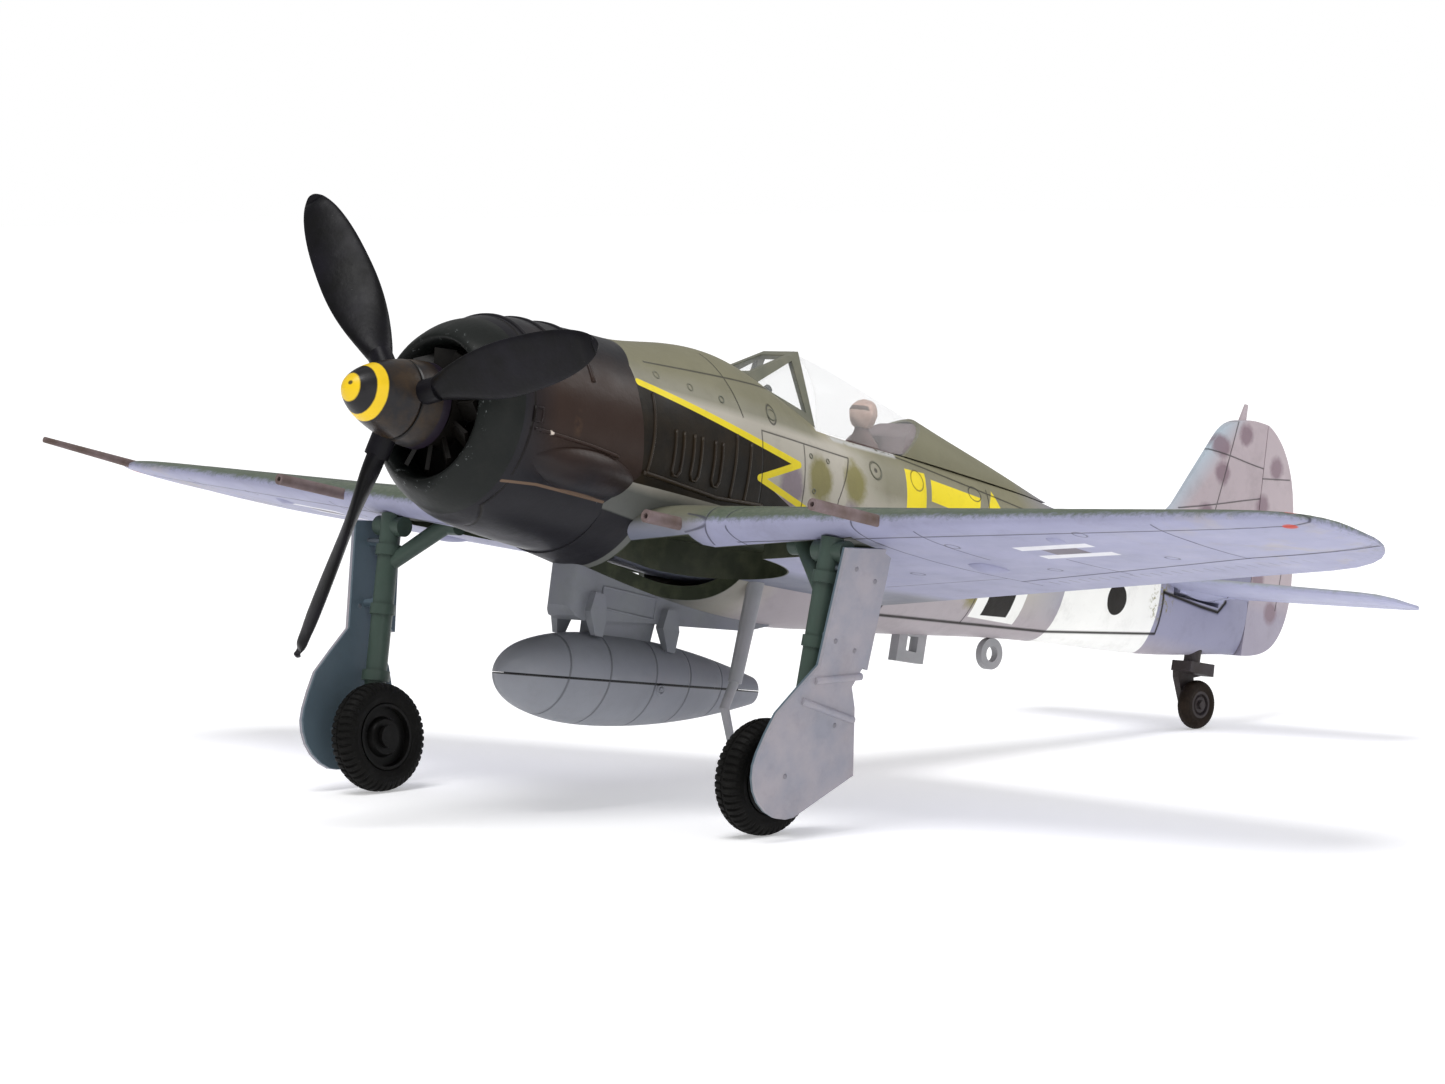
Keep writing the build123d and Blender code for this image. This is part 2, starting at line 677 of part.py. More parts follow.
# ---------------------------------------------------------------- cockpit
with BuildPart() as cockpit_tub:
    add(plan_block(
        -3.0, 5.2, (-3.5, 44.6), (3.5, 44.6), (3.6, 50.0), (2.9, 65.6), (-2.9, 65.6), (-3.6, 50.0)
    ))
    add(body, mode=Mode.INTERSECT)
    add(
        plan_block(
            -2.4, 6.0, (-3.0, 45.2), (3.0, 45.2), (3.1, 50.0), (2.4, 65.0), (-2.4, 65.0), (-3.1, 50.0)
        ),
        mode=Mode.SUBTRACT,
    )

with BuildPart() as instrument_panel:
    with BuildSketch(station(46.2)):
        with Locations((0, 3.6)):
            RectangleRounded(5.4, 4.4, 0.8)
    extrude(amount=-0.7)
    with BuildSketch(station(46.9)):
        with Locations((-1.4, 4.2), (0.0, 4.5), (1.4, 4.2), (-0.7, 3.0), (0.7, 3.0)):
            Circle(0.48)
    extrude(amount=-0.15)

SEAT_Y = 57.6
with BuildPart() as seat:
    add(side_block(
        (SEAT_Y, -2.4), (SEAT_Y, -0.4), (SEAT_Y + 4.0, -0.7), (SEAT_Y + 5.0, 4.6), (SEAT_Y + 5.7, 4.6),
        (SEAT_Y + 4.9, -1.2), (SEAT_Y + 4.6, -2.4), depth=1.9,
    ))

with BuildPart() as control_stick:
    add(rod((0, 54.4, -2.4), (0, 54.9, 1.2), 0.25, 0.2))
    add(rod((0, 54.85, 0.8), (0, 55.1, 2.3), 0.38))

# the pilot is a seated torso with arms and legs, and a separate head in a flying helmet
TORSO_SECTIONS = (
    (-0.45, 60.2, 1.6, 1.2), (2.2, 60.4, 1.55, 1.1), (5.0, 60.6, 1.9, 1.0), (6.7, 60.5, 1.9, 0.9),
    (7.9, 60.3, 0.8, 0.75), (8.3, 60.2, 0.65, 0.65),
)
HEAD_CENTRE = (0, 60.1, 9.35)
HEAD_RADIUS = 1.3
with BuildPart() as pilot_body:
    for z, y, half_x, half_y in TORSO_SECTIONS:
        with BuildSketch(Plane(origin=(0, y, z))):
            Ellipse(half_x, half_y)
    loft()
    for side in (1, -1):
        hip, knee, foot = (side * 0.8, 60.0, 0.1), (side * 1.2, 54.7, 0.9), (side * 1.2, 53.2, -2.0)
        shoulder, elbow = (side * 1.75, 60.4, 6.0), (side * 2.0, 58.7, 2.9)
        hand = (side * 0.6, 55.9, 1.7)
        add(rod(hip, knee, 0.85, 0.6))
        add(rod(knee, foot, 0.6, 0.45))
        add(rod(shoulder, elbow, 0.6, 0.5))
        add(rod(elbow, hand, 0.5, 0.38))
    add(seat.part, mode=Mode.SUBTRACT)
    add(control_stick.part, mode=Mode.SUBTRACT)

with BuildPart() as pilot_head:
    with Locations(HEAD_CENTRE):
        Sphere(HEAD_RADIUS)
    add(pilot_body.part, mode=Mode.SUBTRACT)

# windscreen: a flat sloping front pane and a triangular pane each side, ahead of one arch
# its two end frames are (y, top, half width at the top, half width at the foot)
SCREEN_ENDS = ((42.0, 9.4, 2.4, 4.3), (50.2, 13.75, 2.05, 5.45))
SCREEN_FOOT_Z = 5.0
FRAME_THICKNESS = 0.45
arch_slope = side_block((48.45, 14), (49.55, 5), (60, 5), (60, 16), (48.2, 16))


def screen_form(inset):
    """The windscreen's faceted outside, or its inside when an inset is given."""
    with BuildPart() as screen:
        for y, top, top_half, foot_half in SCREEN_ENDS:
            narrow, foot = top_half - 0.8 * inset, foot_half - 1.1 * inset
            with BuildSketch(station(y)):
                with BuildLine():
                    Polyline(
                        (-narrow, top - inset), (narrow, top - inset),
                        (foot, SCREEN_FOOT_Z), (-foot, SCREEN_FOOT_Z), close=True,
                    )
                make_face()
        loft(ruled=True)
    return screen.part


with BuildPart() as windows:
    add(plan_block(0, 20, (-1.75, 43.3), (1.75, 43.3), (1.5, 47.7), (-1.5, 47.7)))
    add(side_block((43.4, 9.05), (47.75, 11.9), (48.6, 7.45)))

with BuildPart() as windscreen_frame:
    add(screen_form(0.0))
    for cut in (screen_form(FRAME_THICKNESS), arch_slope, body, windows.part):
        add(cut, mode=Mode.SUBTRACT)

with BuildPart() as windscreen_glass:
    add(screen_form(0.1))
    for cut in (screen_form(FRAME_THICKNESS - 0.05), arch_slope, body):
        add(cut, mode=Mode.SUBTRACT)
    add(windows.part, mode=Mode.INTERSECT)


# sliding hood: a clear front part and a solid tail fairing, with the head armour inside
def hood_form(inset):
    with BuildPart() as bubble:
        for y, half_width, top in HOOD_SECTIONS:
            foot = DECK_Z + RAIL_GAP
            width = max(half_width - inset, 0.2)
            crest = max(top - inset, DECK_Z + 0.2)
            ring = ring_points(width, crest, foot - 1, foot, HOOD_SQUARENESS)
            arch = ring[: OUTLINE_POINTS // 2 + 1]
            with BuildSketch(station(y)):
                with BuildLine():
                    Spline(*arch)
                    Line(arch[-1], arch[0])
                make_face()
        loft()
    return bubble.part


FAIRING_EDGE = ((61.5, 5), (61.5, DECK_Z), (63.3, 7.7), (65.0, 9.3), (66.8, 11.0))
fairing_region = side_block(*FAIRING_EDGE, (100, 12), (100, 5))
hood_inside = hood_form(GLASS)
with BuildPart() as hood_shell:
    add(hood_form(0.0))
    add(hood_inside & side_block((40, 0), (40, 20), (79, 20), (79, 0)), mode=Mode.SUBTRACT)

with BuildPart() as canopy_hood:
    add(hood_shell.part)
    add(fairing_region, mode=Mode.SUBTRACT)

with BuildPart() as canopy_fairing:
    add(hood_shell.part)
    add(fairing_region, mode=Mode.INTERSECT)

with BuildPart() as head_armour:
    add(side_block((61.6, 6.3), (62.4, 8.0), (64.4, 9.5), (66.3, 9.9), (66.3, 6.3)))
    add(hood_inside, mode=Mode.INTERSECT)

with BuildPart() as gunsight:
    add(rod((0.6, 46.6, 6.0), (0.6, 46.6, 8.3), 0.35))
    add(rod((0.6, 46.3, 8.5), (0.6, 47.2, 9.3), 0.4))

# ---------------------------------------------------------------- landing gear
LEG_TOP = (27.2, 30.6, -5.9)
LEG_FOOT = (26.4, 31.1, -21.5)
LEG_RADIUS = 0.95
# collars on the leg: (share of its length, radius)
LEG_COLLARS = ((0.18, 1.15), (0.52, 1.12), (0.9, 1.25))
COLLAR_LENGTH = 0.06
PIVOT_Z = -7.0
PIVOT_HALF_LENGTH = 1.7
axle_direction = (cos(radians(WHEEL_CANT)), 0, -sin(radians(WHEEL_CANT)))


def on_axle(distance):
    """A point on the port axle, outboard of the wheel's centre when positive."""
    return tuple(c + d * distance for c, d in zip(WHEEL_CENTRE, axle_direction))


def on_leg(share):
    return along(LEG_TOP, LEG_FOOT, share)


with BuildPart() as gear_leg_port:
    add(rod(LEG_TOP, LEG_FOOT, LEG_RADIUS))
    for share, radius in LEG_COLLARS:
        add(rod(on_leg(share), on_leg(share + COLLAR_LENGTH), radius))
    add(rod(LEG_FOOT, on_axle(2.45), 0.72))
    add(rod(on_axle(1.6), on_axle(3.0), 0.95))
    add(rod(on_axle(-0.9), on_axle(2.2), AXLE_RADIUS))
    add(rod(
        (LEG_TOP[0] - PIVOT_HALF_LENGTH, LEG_TOP[1] + 0.2, PIVOT_Z),
        (LEG_TOP[0] + PIVOT_HALF_LENGTH, LEG_TOP[1] + 0.2, PIVOT_Z), 0.9,
    ))
    add(wing_casting.part, mode=Mode.SUBTRACT)
    keep_largest(gear_leg_port)

STRUT_TOP = (21.6, 32.9, -5.9)
STRUT_PIN_Z = -6.4
with BuildPart() as retraction_strut_port:
    add(rod(STRUT_TOP, on_leg(0.30), 0.8, 0.7))
    add(rod(
        (STRUT_TOP[0] - 1.0, STRUT_TOP[1], STRUT_PIN_Z), (STRUT_TOP[0] + 1.0, STRUT_TOP[1], STRUT_PIN_Z), 0.8
    ))
    add(gear_leg_port.part, mode=Mode.SUBTRACT)
    add(wing_casting.part, mode=Mode.SUBTRACT)
    keep_largest(retraction_strut_port)

# doors lie in a canted plane outboard of the leg, drawn as (aft, up) from its origin
DOOR_CANT = 7.0
DOOR_THICKNESS = 0.55
door_normal = (cos(radians(DOOR_CANT)), 0, -sin(radians(DOOR_CANT)))
door_plane = Plane(origin=(28.65, 0, -18.0), x_dir=(0, 1, 0), z_dir=door_normal)
LEG_DOOR = ((29.0, 11.2), (33.4, 11.9), (34.2, 2.3), (33.9, 1.9), (29.2, 1.5))
LEG_DOOR_TAB = ((33.3, 11.6), (34.2, 11.3), (34.6, 2.0), (34.0, 2.2))
LEG_DOOR_CLIPS = (9.5, 4.0)
LEG_DOOR_CLIP_RADIUS = 0.35
WHEEL_DOOR = (
    (29.2, 1.5), (33.9, 1.9), (33.3, 0.4), (34.2, -1.2), (35.9, -6.6), (30.3, -10.9), (29.4, -11.2),
    (28.3, -11.25), (27.2, -10.95), (26.2, -10.35), (25.4, -9.5), (24.9, -8.5), (24.7, -7.5), (24.8, -6.4),
    (25.2, -4.8), (25.8, -3.0), (27.5, -0.7),
)
WHEEL_DOOR_RIBS = (((29.0, 0.2), (34.0, 1.4)), ((28.1, -1.6), (34.3, -2.2)))


def door(*outline):
    with BuildPart() as sheet:
        with BuildSketch(door_plane):
            with BuildLine():
                Polyline(*outline, close=True)
            make_face()
        extrude(amount=DOOR_THICKNESS)
    return sheet.part


def door_point(aft, up, out=0.0):
    return tuple(door_plane.from_local_coords(Vector(aft, up, out)))


with BuildPart() as leg_door_port:
    add(door(*LEG_DOOR))
    add(door(*LEG_DOOR_TAB))
    for up in LEG_DOOR_CLIPS:
        add(rod(door_point(30.9, up, -2.3), door_point(30.9, up, 0.1), LEG_DOOR_CLIP_RADIUS))
    for neighbour in (gear_leg_port.part, wing_casting.part, retraction_strut_port.part):
        add(neighbour, mode=Mode.SUBTRACT)
    keep_largest(leg_door_port)

with BuildPart() as wheel_door_port:
    add(door(*WHEEL_DOOR))
    for start, end in WHEEL_DOOR_RIBS:
        add(rod(door_point(*start, DOOR_THICKNESS), door_point(*end, DOOR_THICKNESS), 0.3))
    add(rod(door_point(30.25, -8.0, -2.2), door_point(30.25, -8.0, 0.1), 0.45))
    add(gear_leg_port.part, mode=Mode.SUBTRACT)
    add(leg_door_port.part, mode=Mode.SUBTRACT)
    keep_largest(wheel_door_port)


def wheel_hub(centre, axis, radius, width, rim_radius, bore_radius):
    """A hub dished on both sides, turned about the axle."""
    boss, web, rim = 0.32 * radius, 0.38 * radius, 0.46 * width
    profile = (
        (-0.42 * width, bore_radius), (-0.42 * width, boss), (-0.22 * width, web),
        (-0.22 * width, rim_radius - 0.3), (-rim, rim_radius - 0.25), (-rim, rim_radius),
        (rim, rim_radius), (rim, rim_radius - 0.25), (0.22 * width, rim_radius - 0.3),
        (0.22 * width, web), (0.40 * width, boss), (0.40 * width, bore_radius),
    )
    return lathe(profile, origin=centre, axis=axis)


def wheel_tyre(centre, axis, radius, width, rim_radius):
    # (share of the half width, share of the radius) round the tyre's outside
    shoulder = ((-1.0, 0.68), (-0.98, 0.83), (-0.72, 0.94), (-0.4, 0.985), (0, 1.0))
    half = width / 2
    outside = [(out * half, share * radius) for out, share in shoulder]
    outside += [(-out * half, share * radius) for out, share in reversed(shoulder[:-1])]
    bead = ((0.92 * half, rim_radius), (-0.92 * half, rim_radius))
    return turned(outside, bead, origin=centre, axis=axis)


with BuildPart() as wheel_hub_port:
    add(wheel_hub(
        WHEEL_CENTRE, axle_direction, WHEEL_RADIUS, TYRE_WIDTH, RIM_RADIUS, AXLE_RADIUS + SHAFT_CLEARANCE
    ))

with BuildPart() as tyre_port:
    add(wheel_tyre(WHEEL_CENTRE, axle_direction, WHEEL_RADIUS, TYRE_WIDTH, RIM_RADIUS))

with BuildPart() as wheel_retainers:
    add(rod(on_axle(-1.65), on_axle(-1.25), 1.0))
    add(rod(on_axle(-1.3), on_axle(-0.9), AXLE_RADIUS))
    mirror(about=Plane.YZ)

# the starboard gear mirrors the port gear
with BuildPart() as gear_leg_starboard:
    mirror(gear_leg_port.part, about=Plane.YZ)

with BuildPart() as retraction_strut_starboard:
    mirror(retraction_strut_port.part, about=Plane.YZ)

with BuildPart() as leg_door_starboard:
    mirror(leg_door_port.part, about=Plane.YZ)

with BuildPart() as wheel_door_starboard:
    mirror(wheel_door_port.part, about=Plane.YZ)

with BuildPart() as wheel_hub_starboard:
    mirror(wheel_hub_port.part, about=Plane.YZ)

with BuildPart() as tyre_starboard:
    mirror(tyre_port.part, about=Plane.YZ)

# tail wheel: a swivelling half-fork on the starboard side of the wheel
TAIL_ARM_X = -1.15
TAIL_ARM_THICKNESS = 0.7
with BuildPart() as tail_wheel_fork:
    with BuildSketch(Plane.YZ.offset(TAIL_ARM_X - TAIL_ARM_THICKNESS / 2)):
        with BuildLine():
            Polyline(
                (109.3, -5.2), (112.6, -4.9), (112.9, -5.9), (111.9, -6.2), (112.6, -8.2), (112.3, -9.4),
                (111.3, -9.4), (110.7, -8.4), (109.6, -6.5), close=True,
            )
        make_face()
    extrude(amount=TAIL_ARM_THICKNESS)
    with BuildSketch(Plane.YZ.offset(-1.5)):
        with BuildLine():
            Polyline((109.2, -5.9), (109.2, -4.9), (112.7, -4.7), (112.8, -5.9), close=True)
        make_face()
    extrude(amount=2.4)
    add(rod((0, TAIL_PIVOT_Y, -5.2), (0, TAIL_PIVOT_Y, -2.2), TAIL_PIVOT_RADIUS))
    add(rod(
        (TAIL_ARM_X, *TAIL_WHEEL_CENTRE[1:]), (0.85, *TAIL_WHEEL_CENTRE[1:]), TAIL_AXLE_RADIUS
    ))

with BuildPart() as tail_wheel_hub:
    add(wheel_hub(
        TAIL_WHEEL_CENTRE, (1, 0, 0), TAIL_WHEEL_RADIUS, TAIL_TYRE_WIDTH, TAIL_RIM_RADIUS,
        TAIL_AXLE_RADIUS + SHAFT_CLEARANCE,
    ))

with BuildPart() as tail_wheel_tyre:
    add(wheel_tyre(
        TAIL_WHEEL_CENTRE, (1, 0, 0), TAIL_WHEEL_RADIUS, TAIL_TYRE_WIDTH, TAIL_RIM_RADIUS
    ))

# ---------------------------------------------------------------- belly rack and tank
RACK_OUTLINE = (
    (27.6, -14.2), (26.8, -13.4), (26.6, -9.0), (50.0, -9.0), (50.6, -11.2), (48.0, -12.1),
    (41.0, -12.9), (36.0, -13.4), (30.6, -14.1), (28.6, -14.4),
)
with BuildPart() as rack_body:
    add(side_block(*RACK_OUTLINE, depth=RACK_HALF_WIDTH))
    front_edges = rack_body.edges().filter_by(
        lambda edge: edge.center().Y < 27.0 and abs(edge.center().X) > 1
    )
    fillet(front_edges, 1.0)
    add(body, mode=Mode.SUBTRACT)
    add(screw_form.part, mode=Mode.SUBTRACT)
    keep_lowest(rack_body)

tank_axis = (0, cos(radians(TANK_PITCH)), sin(radians(TANK_PITCH)))
TANK_STEPS = 14
TANK_TAIL_RADIUS = 1.25


def tank_fullness(share):
    """The tank's radius along its length, as a share of its greatest radius."""
    if share < TANK_FULLEST:
        return sqrt(1 - (1 - share / TANK_FULLEST) ** 2.2)
    return 1 - ((share - TANK_FULLEST) / 0.78) ** 1.9


tank_profile = [(0, 0)]
for step in range(1, TANK_STEPS):
    share = step / TANK_STEPS
    tank_profile.append((share * TANK_LENGTH, TANK_RADIUS * tank_fullness(share)))
tank_profile.append((TANK_LENGTH, TANK_TAIL_RADIUS))
tank = turned(tank_profile, ((TANK_LENGTH, 0),), origin=TANK_NOSE, axis=tank_axis)

# the upper half has a tongue that locates it in the lower half
TONGUE_DEPTH = 0.5
tongue_core = lathe(
    ((1.5, 0), (2.5, 1.8), (6.0, 3.0), (18.0, 3.0), (27.5, 1.2), (27.5, 0)), origin=TANK_NOSE, axis=tank_axis
)


def seam_block(offset, far_z):
    """Everything between the tank's sloping seam and a height above or below it."""
    ahead, behind = -5.0, 40.0
    rise = tan(radians(TANK_PITCH))
    nose_y, nose_z = TANK_NOSE[1:]
    return side_block(
        (nose_y + ahead, nose_z + ahead * rise + offset), (nose_y + behind, nose_z + behind * rise + offset),
        (nose_y + behind, far_z), (nose_y + ahead, far_z),
    )


with BuildPart() as tank_saddle:
    add(side_block((31.0, -17.0), (30.8, -12.0), (37.6, -12.0), (37.0, -17.0), depth=1.1))
    add(rack_body.part, mode=Mode.SUBTRACT)
    keep_lowest(tank_saddle)

with BuildPart() as tank_upper_half:
    add(tank)
    add(seam_block(TANK_SEAM, 0.0), mode=Mode.INTERSECT)
    with BuildPart(mode=Mode.ADD):
        add(tongue_core)
        add(seam_block(-TONGUE_DEPTH, 0.0), mode=Mode.INTERSECT)
    add(tank_saddle.part, mode=Mode.SUBTRACT)

with BuildPart() as tank_lower_half:
    add(tank)
    add(seam_block(0.0, -40.0), mode=Mode.INTERSECT)
    add(tank_upper_half.part, mode=Mode.SUBTRACT)

# brace sections from top to bottom: (out, aft, height, length, width)
BRACE_SECTIONS = ((1.95, 0.0, -11.9, 1.1, 1.1), (2.05, 0.15, -13.6, 2.0, 0.9), (2.35, 0.4, -15.5, 0.9, 0.6))
with BuildPart() as sway_braces:
    for y in BRACE_STATIONS:
        with BuildPart(mode=Mode.ADD):
            for out, aft, z, length, width in BRACE_SECTIONS:
                with BuildSketch(Plane(origin=(out, y + aft, z), x_dir=(0, 1, 0), z_dir=(0, 0, -1))):
                    Rectangle(length, width)
            loft(ruled=True)
    mirror(about=Plane.YZ)
    for neighbour in (rack_body.part, tank):
        add(neighbour, mode=Mode.SUBTRACT)

# ---------------------------------------------------------------- small belly fittings
STEP_KNEE = (6.6, 42.6, -17.2)
STEP_ANKLE = (6.4, 42.0, -19.6)
with BuildPart() as boarding_step:
    add(rod((6.3, 43.6, -8.2), STEP_KNEE, 0.75, 0.6))
    add(rod((STEP_KNEE[0], STEP_KNEE[1], STEP_KNEE[2] + 0.2), STEP_ANKLE, 0.42))
    add(rod((STEP_ANKLE[0], STEP_ANKLE[1], STEP_ANKLE[2] + 0.2), (6.75, 43.2, -22.4), 0.4, 0.36))
    add(centre_section_pan.part, mode=Mode.SUBTRACT)
    add(wing_casting.part, mode=Mode.SUBTRACT)
    keep_lowest(boarding_step)

LOOP_Y = 70.6
with BuildPart() as loop_aerial:
    add(side_block(
        (LOOP_Y - 2.0, -11.4), (LOOP_Y - 2.0, -7.6), (LOOP_Y + 1.6, -7.6), (LOOP_Y + 1.6, -11.2), depth=0.5
    ))
    add(
        side_block((LOOP_Y - 0.9, -10.3), (LOOP_Y - 0.9, -8.9), (LOOP_Y + 0.5, -8.9), (LOOP_Y + 0.5, -10.3)),
        mode=Mode.SUBTRACT,
    )
    add(body, mode=Mode.SUBTRACT)

with BuildPart() as ring_aerial:
    add(lathe(
        ((-0.35, 0.75), (-0.35, 1.45), (0.35, 1.45), (0.35, 0.75)), origin=(0, 81.4, -8.75), axis=(1, 0, 0)
    ))
    add(body, mode=Mode.SUBTRACT)

with BuildPart() as assembly_screws:
    add(screw_form.part)
    add(wing_casting.part, mode=Mode.SUBTRACT)

# ---------------------------------------------------------------- stand it on its wheels
wheelbase_y = TAIL_WHEEL_CENTRE[1] - WHEEL_CENTRE[1]
axle_rise = TAIL_WHEEL_CENTRE[2] - WHEEL_CENTRE[2]
radius_step = WHEEL_RADIUS - TAIL_WHEEL_RADIUS
ground_angle = degrees(atan2(axle_rise, wheelbase_y) + asin(radius_step / hypot(wheelbase_y, axle_rise)))

pieces = {
    "fuselage_casting": fuselage_casting,
    "belly_insert": belly_insert,
    "centre_section_pan": centre_section_pan,
    "rudder": rudder,
    "wing_underside_port": wing_underside_port,
    "wing_underside_starboard": wing_underside_starboard,
    "wing_casting": wing_casting,
    "tailplane_port": tailplane_port,
    "tailplane_starboard": tailplane_starboard,
    "aerial_mast": aerial_mast,
    "cowling_upper": cowling_upper,
    "cowling_lower": cowling_lower,
    "nose_ring": nose_ring,
    "engine_bulkhead": engine_bulkhead,
    "spinner": spinner,
    "propeller": propeller,
    "cooling_fan": cooling_fan,
    "propeller_shaft": propeller_shaft,
    "root_gun_barrels": root_gun_barrels,
    "outer_gun_barrels": outer_gun_barrels,
    "pitot_tube": pitot_tube,
    "cockpit_tub": cockpit_tub,
    "instrument_panel": instrument_panel,
    "seat": seat,
    "control_stick": control_stick,
    "pilot_body": pilot_body,
    "pilot_head": pilot_head,
    "windscreen_frame": windscreen_frame,
    "windscreen_glass": windscreen_glass,
    "canopy_hood": canopy_hood,
    "canopy_fairing": canopy_fairing,
    "head_armour": head_armour,
    "gunsight": gunsight,
    "gear_leg_port": gear_leg_port,
    "gear_leg_starboard": gear_leg_starboard,
    "retraction_strut_port": retraction_strut_port,
    "retraction_strut_starboard": retraction_strut_starboard,
    "leg_door_port": leg_door_port,
    "leg_door_starboard": leg_door_starboard,
    "wheel_door_port": wheel_door_port,
    "wheel_door_starboard": wheel_door_starboard,
    "wheel_hub_port": wheel_hub_port,
    "wheel_hub_starboard": wheel_hub_starboard,
    "tyre_port": tyre_port,
    "tyre_starboard": tyre_starboard,
    "wheel_retainers": wheel_retainers,
    "tail_wheel_fork": tail_wheel_fork,
    "tail_wheel_hub": tail_wheel_hub,
    "tail_wheel_tyre": tail_wheel_tyre,
    "rack_body": rack_body,
    "tank_upper_half": tank_upper_half,
    "tank_lower_half": tank_lower_half,
    "tank_saddle": tank_saddle,
    "sway_braces": sway_braces,
    "boarding_step": boarding_step,
    "loop_aerial": loop_aerial,
    "ring_aerial": ring_aerial,
    "assembly_screws": assembly_screws,
}

tipped = Location((0, 0, 0), (-ground_angle, 0, 0))
standing = Compound(children=[piece.part.moved(tipped) for piece in pieces.values()])
box = standing.bounding_box()
stance = Location((-box.center().X, -box.center().Y, -box.min.Z)) * tipped

os.makedirs("parts", exist_ok=True)
for name, piece in pieces.items():
    piece.part.label = name
    placed = piece.part.moved(stance)
    placed.label = name
    export_step(placed, f"parts/{name}.step")
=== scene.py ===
import math
from functools import reduce

import bmesh
import bpy
import numpy as np
from mathutils import Matrix, Vector
from mathutils.bvhtree import BVHTree
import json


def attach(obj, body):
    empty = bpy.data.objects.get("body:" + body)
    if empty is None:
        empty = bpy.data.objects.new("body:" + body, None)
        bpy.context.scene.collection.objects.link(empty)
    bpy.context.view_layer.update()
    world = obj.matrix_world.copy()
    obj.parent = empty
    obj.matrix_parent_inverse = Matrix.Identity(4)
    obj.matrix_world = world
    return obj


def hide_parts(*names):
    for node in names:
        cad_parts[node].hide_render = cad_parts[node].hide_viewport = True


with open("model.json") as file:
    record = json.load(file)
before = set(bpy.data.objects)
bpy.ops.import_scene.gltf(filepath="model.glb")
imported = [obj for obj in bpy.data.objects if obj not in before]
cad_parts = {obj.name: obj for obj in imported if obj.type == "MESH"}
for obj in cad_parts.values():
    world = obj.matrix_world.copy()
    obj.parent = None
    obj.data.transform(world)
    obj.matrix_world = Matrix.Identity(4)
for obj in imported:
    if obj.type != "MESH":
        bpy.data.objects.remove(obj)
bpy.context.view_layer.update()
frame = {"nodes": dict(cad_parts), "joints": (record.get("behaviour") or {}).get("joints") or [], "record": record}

# Lengths below are millimetres in the model's flight attitude: x to port, y aft from the
# spinner's tip along the thrust line, and z up. to_row() puts such a point into the frame.
MM = 0.001
PROPELLER_Y = 5.9
spin = next(joint for joint in frame["joints"] if joint["name"] == "propeller_spin")
AFT = Vector(spin["axis"]).normalized()
UP = Vector((0, -AFT.z, AFT.y))
NOSE = Vector(spin["pos_m"]) - AFT * PROPELLER_Y * MM
PORT = Vector((1, 0, 0))


def to_row(x, y, z):
    return NOSE + (PORT * x + AFT * y + UP * z) * MM


def turn_to_row(v):
    return PORT * v[0] + AFT * v[1] + UP * v[2]


def from_row(point):
    offset = (Vector(point) - NOSE) / MM
    return Vector((offset.x, offset.dot(AFT), offset.dot(UP)))


# ---------------------------------------------------------------- paint as shader nodes
class Field:
    """A number that varies over a surface, held as the output of a shader node."""

    def __init__(self, tree, socket):
        self.tree = tree
        self.socket = socket

    def math(self, operation, *others, clamp=False):
        node = self.tree.nodes.new("ShaderNodeMath")
        node.operation = operation
        node.use_clamp = clamp
        for index, value in enumerate((self, *others)):
            if isinstance(value, Field):
                self.tree.links.new(value.socket, node.inputs[index])
            else:
                node.inputs[index].default_value = value
        return Field(self.tree, node.outputs[0])

    def __add__(self, other):
        return self.math("ADD", other)

    def __sub__(self, other):
        return self.math("SUBTRACT", other)

    def __mul__(self, other):
        return self.math("MULTIPLY", other)

    def __abs__(self):
        return self.math("ABSOLUTE")

    def least(self, other):
        return self.math("MINIMUM", other)

    def most(self, other):
        return self.math("MAXIMUM", other)

    def clamped(self):
        return self.math("ADD", 0.0, clamp=True)

    def root(self):
        return self.math("SQRT")

    def below(self, limit, soft=0.05):
        """1 where this is under the limit and 0 above it, with an edge of a given softness."""
        return (self * (-1 / soft)).math("ADD", limit / soft + 0.5, clamp=True)

    def above(self, limit, soft=0.05):
        return (self * (1 / soft)).math("ADD", 0.5 - limit / soft, clamp=True)

    def between(self, low, high, soft=0.05):
        return self.above(low, soft) * self.below(high, soft)


def any_of(*masks):
    return reduce(lambda a, b: a.most(b), masks)


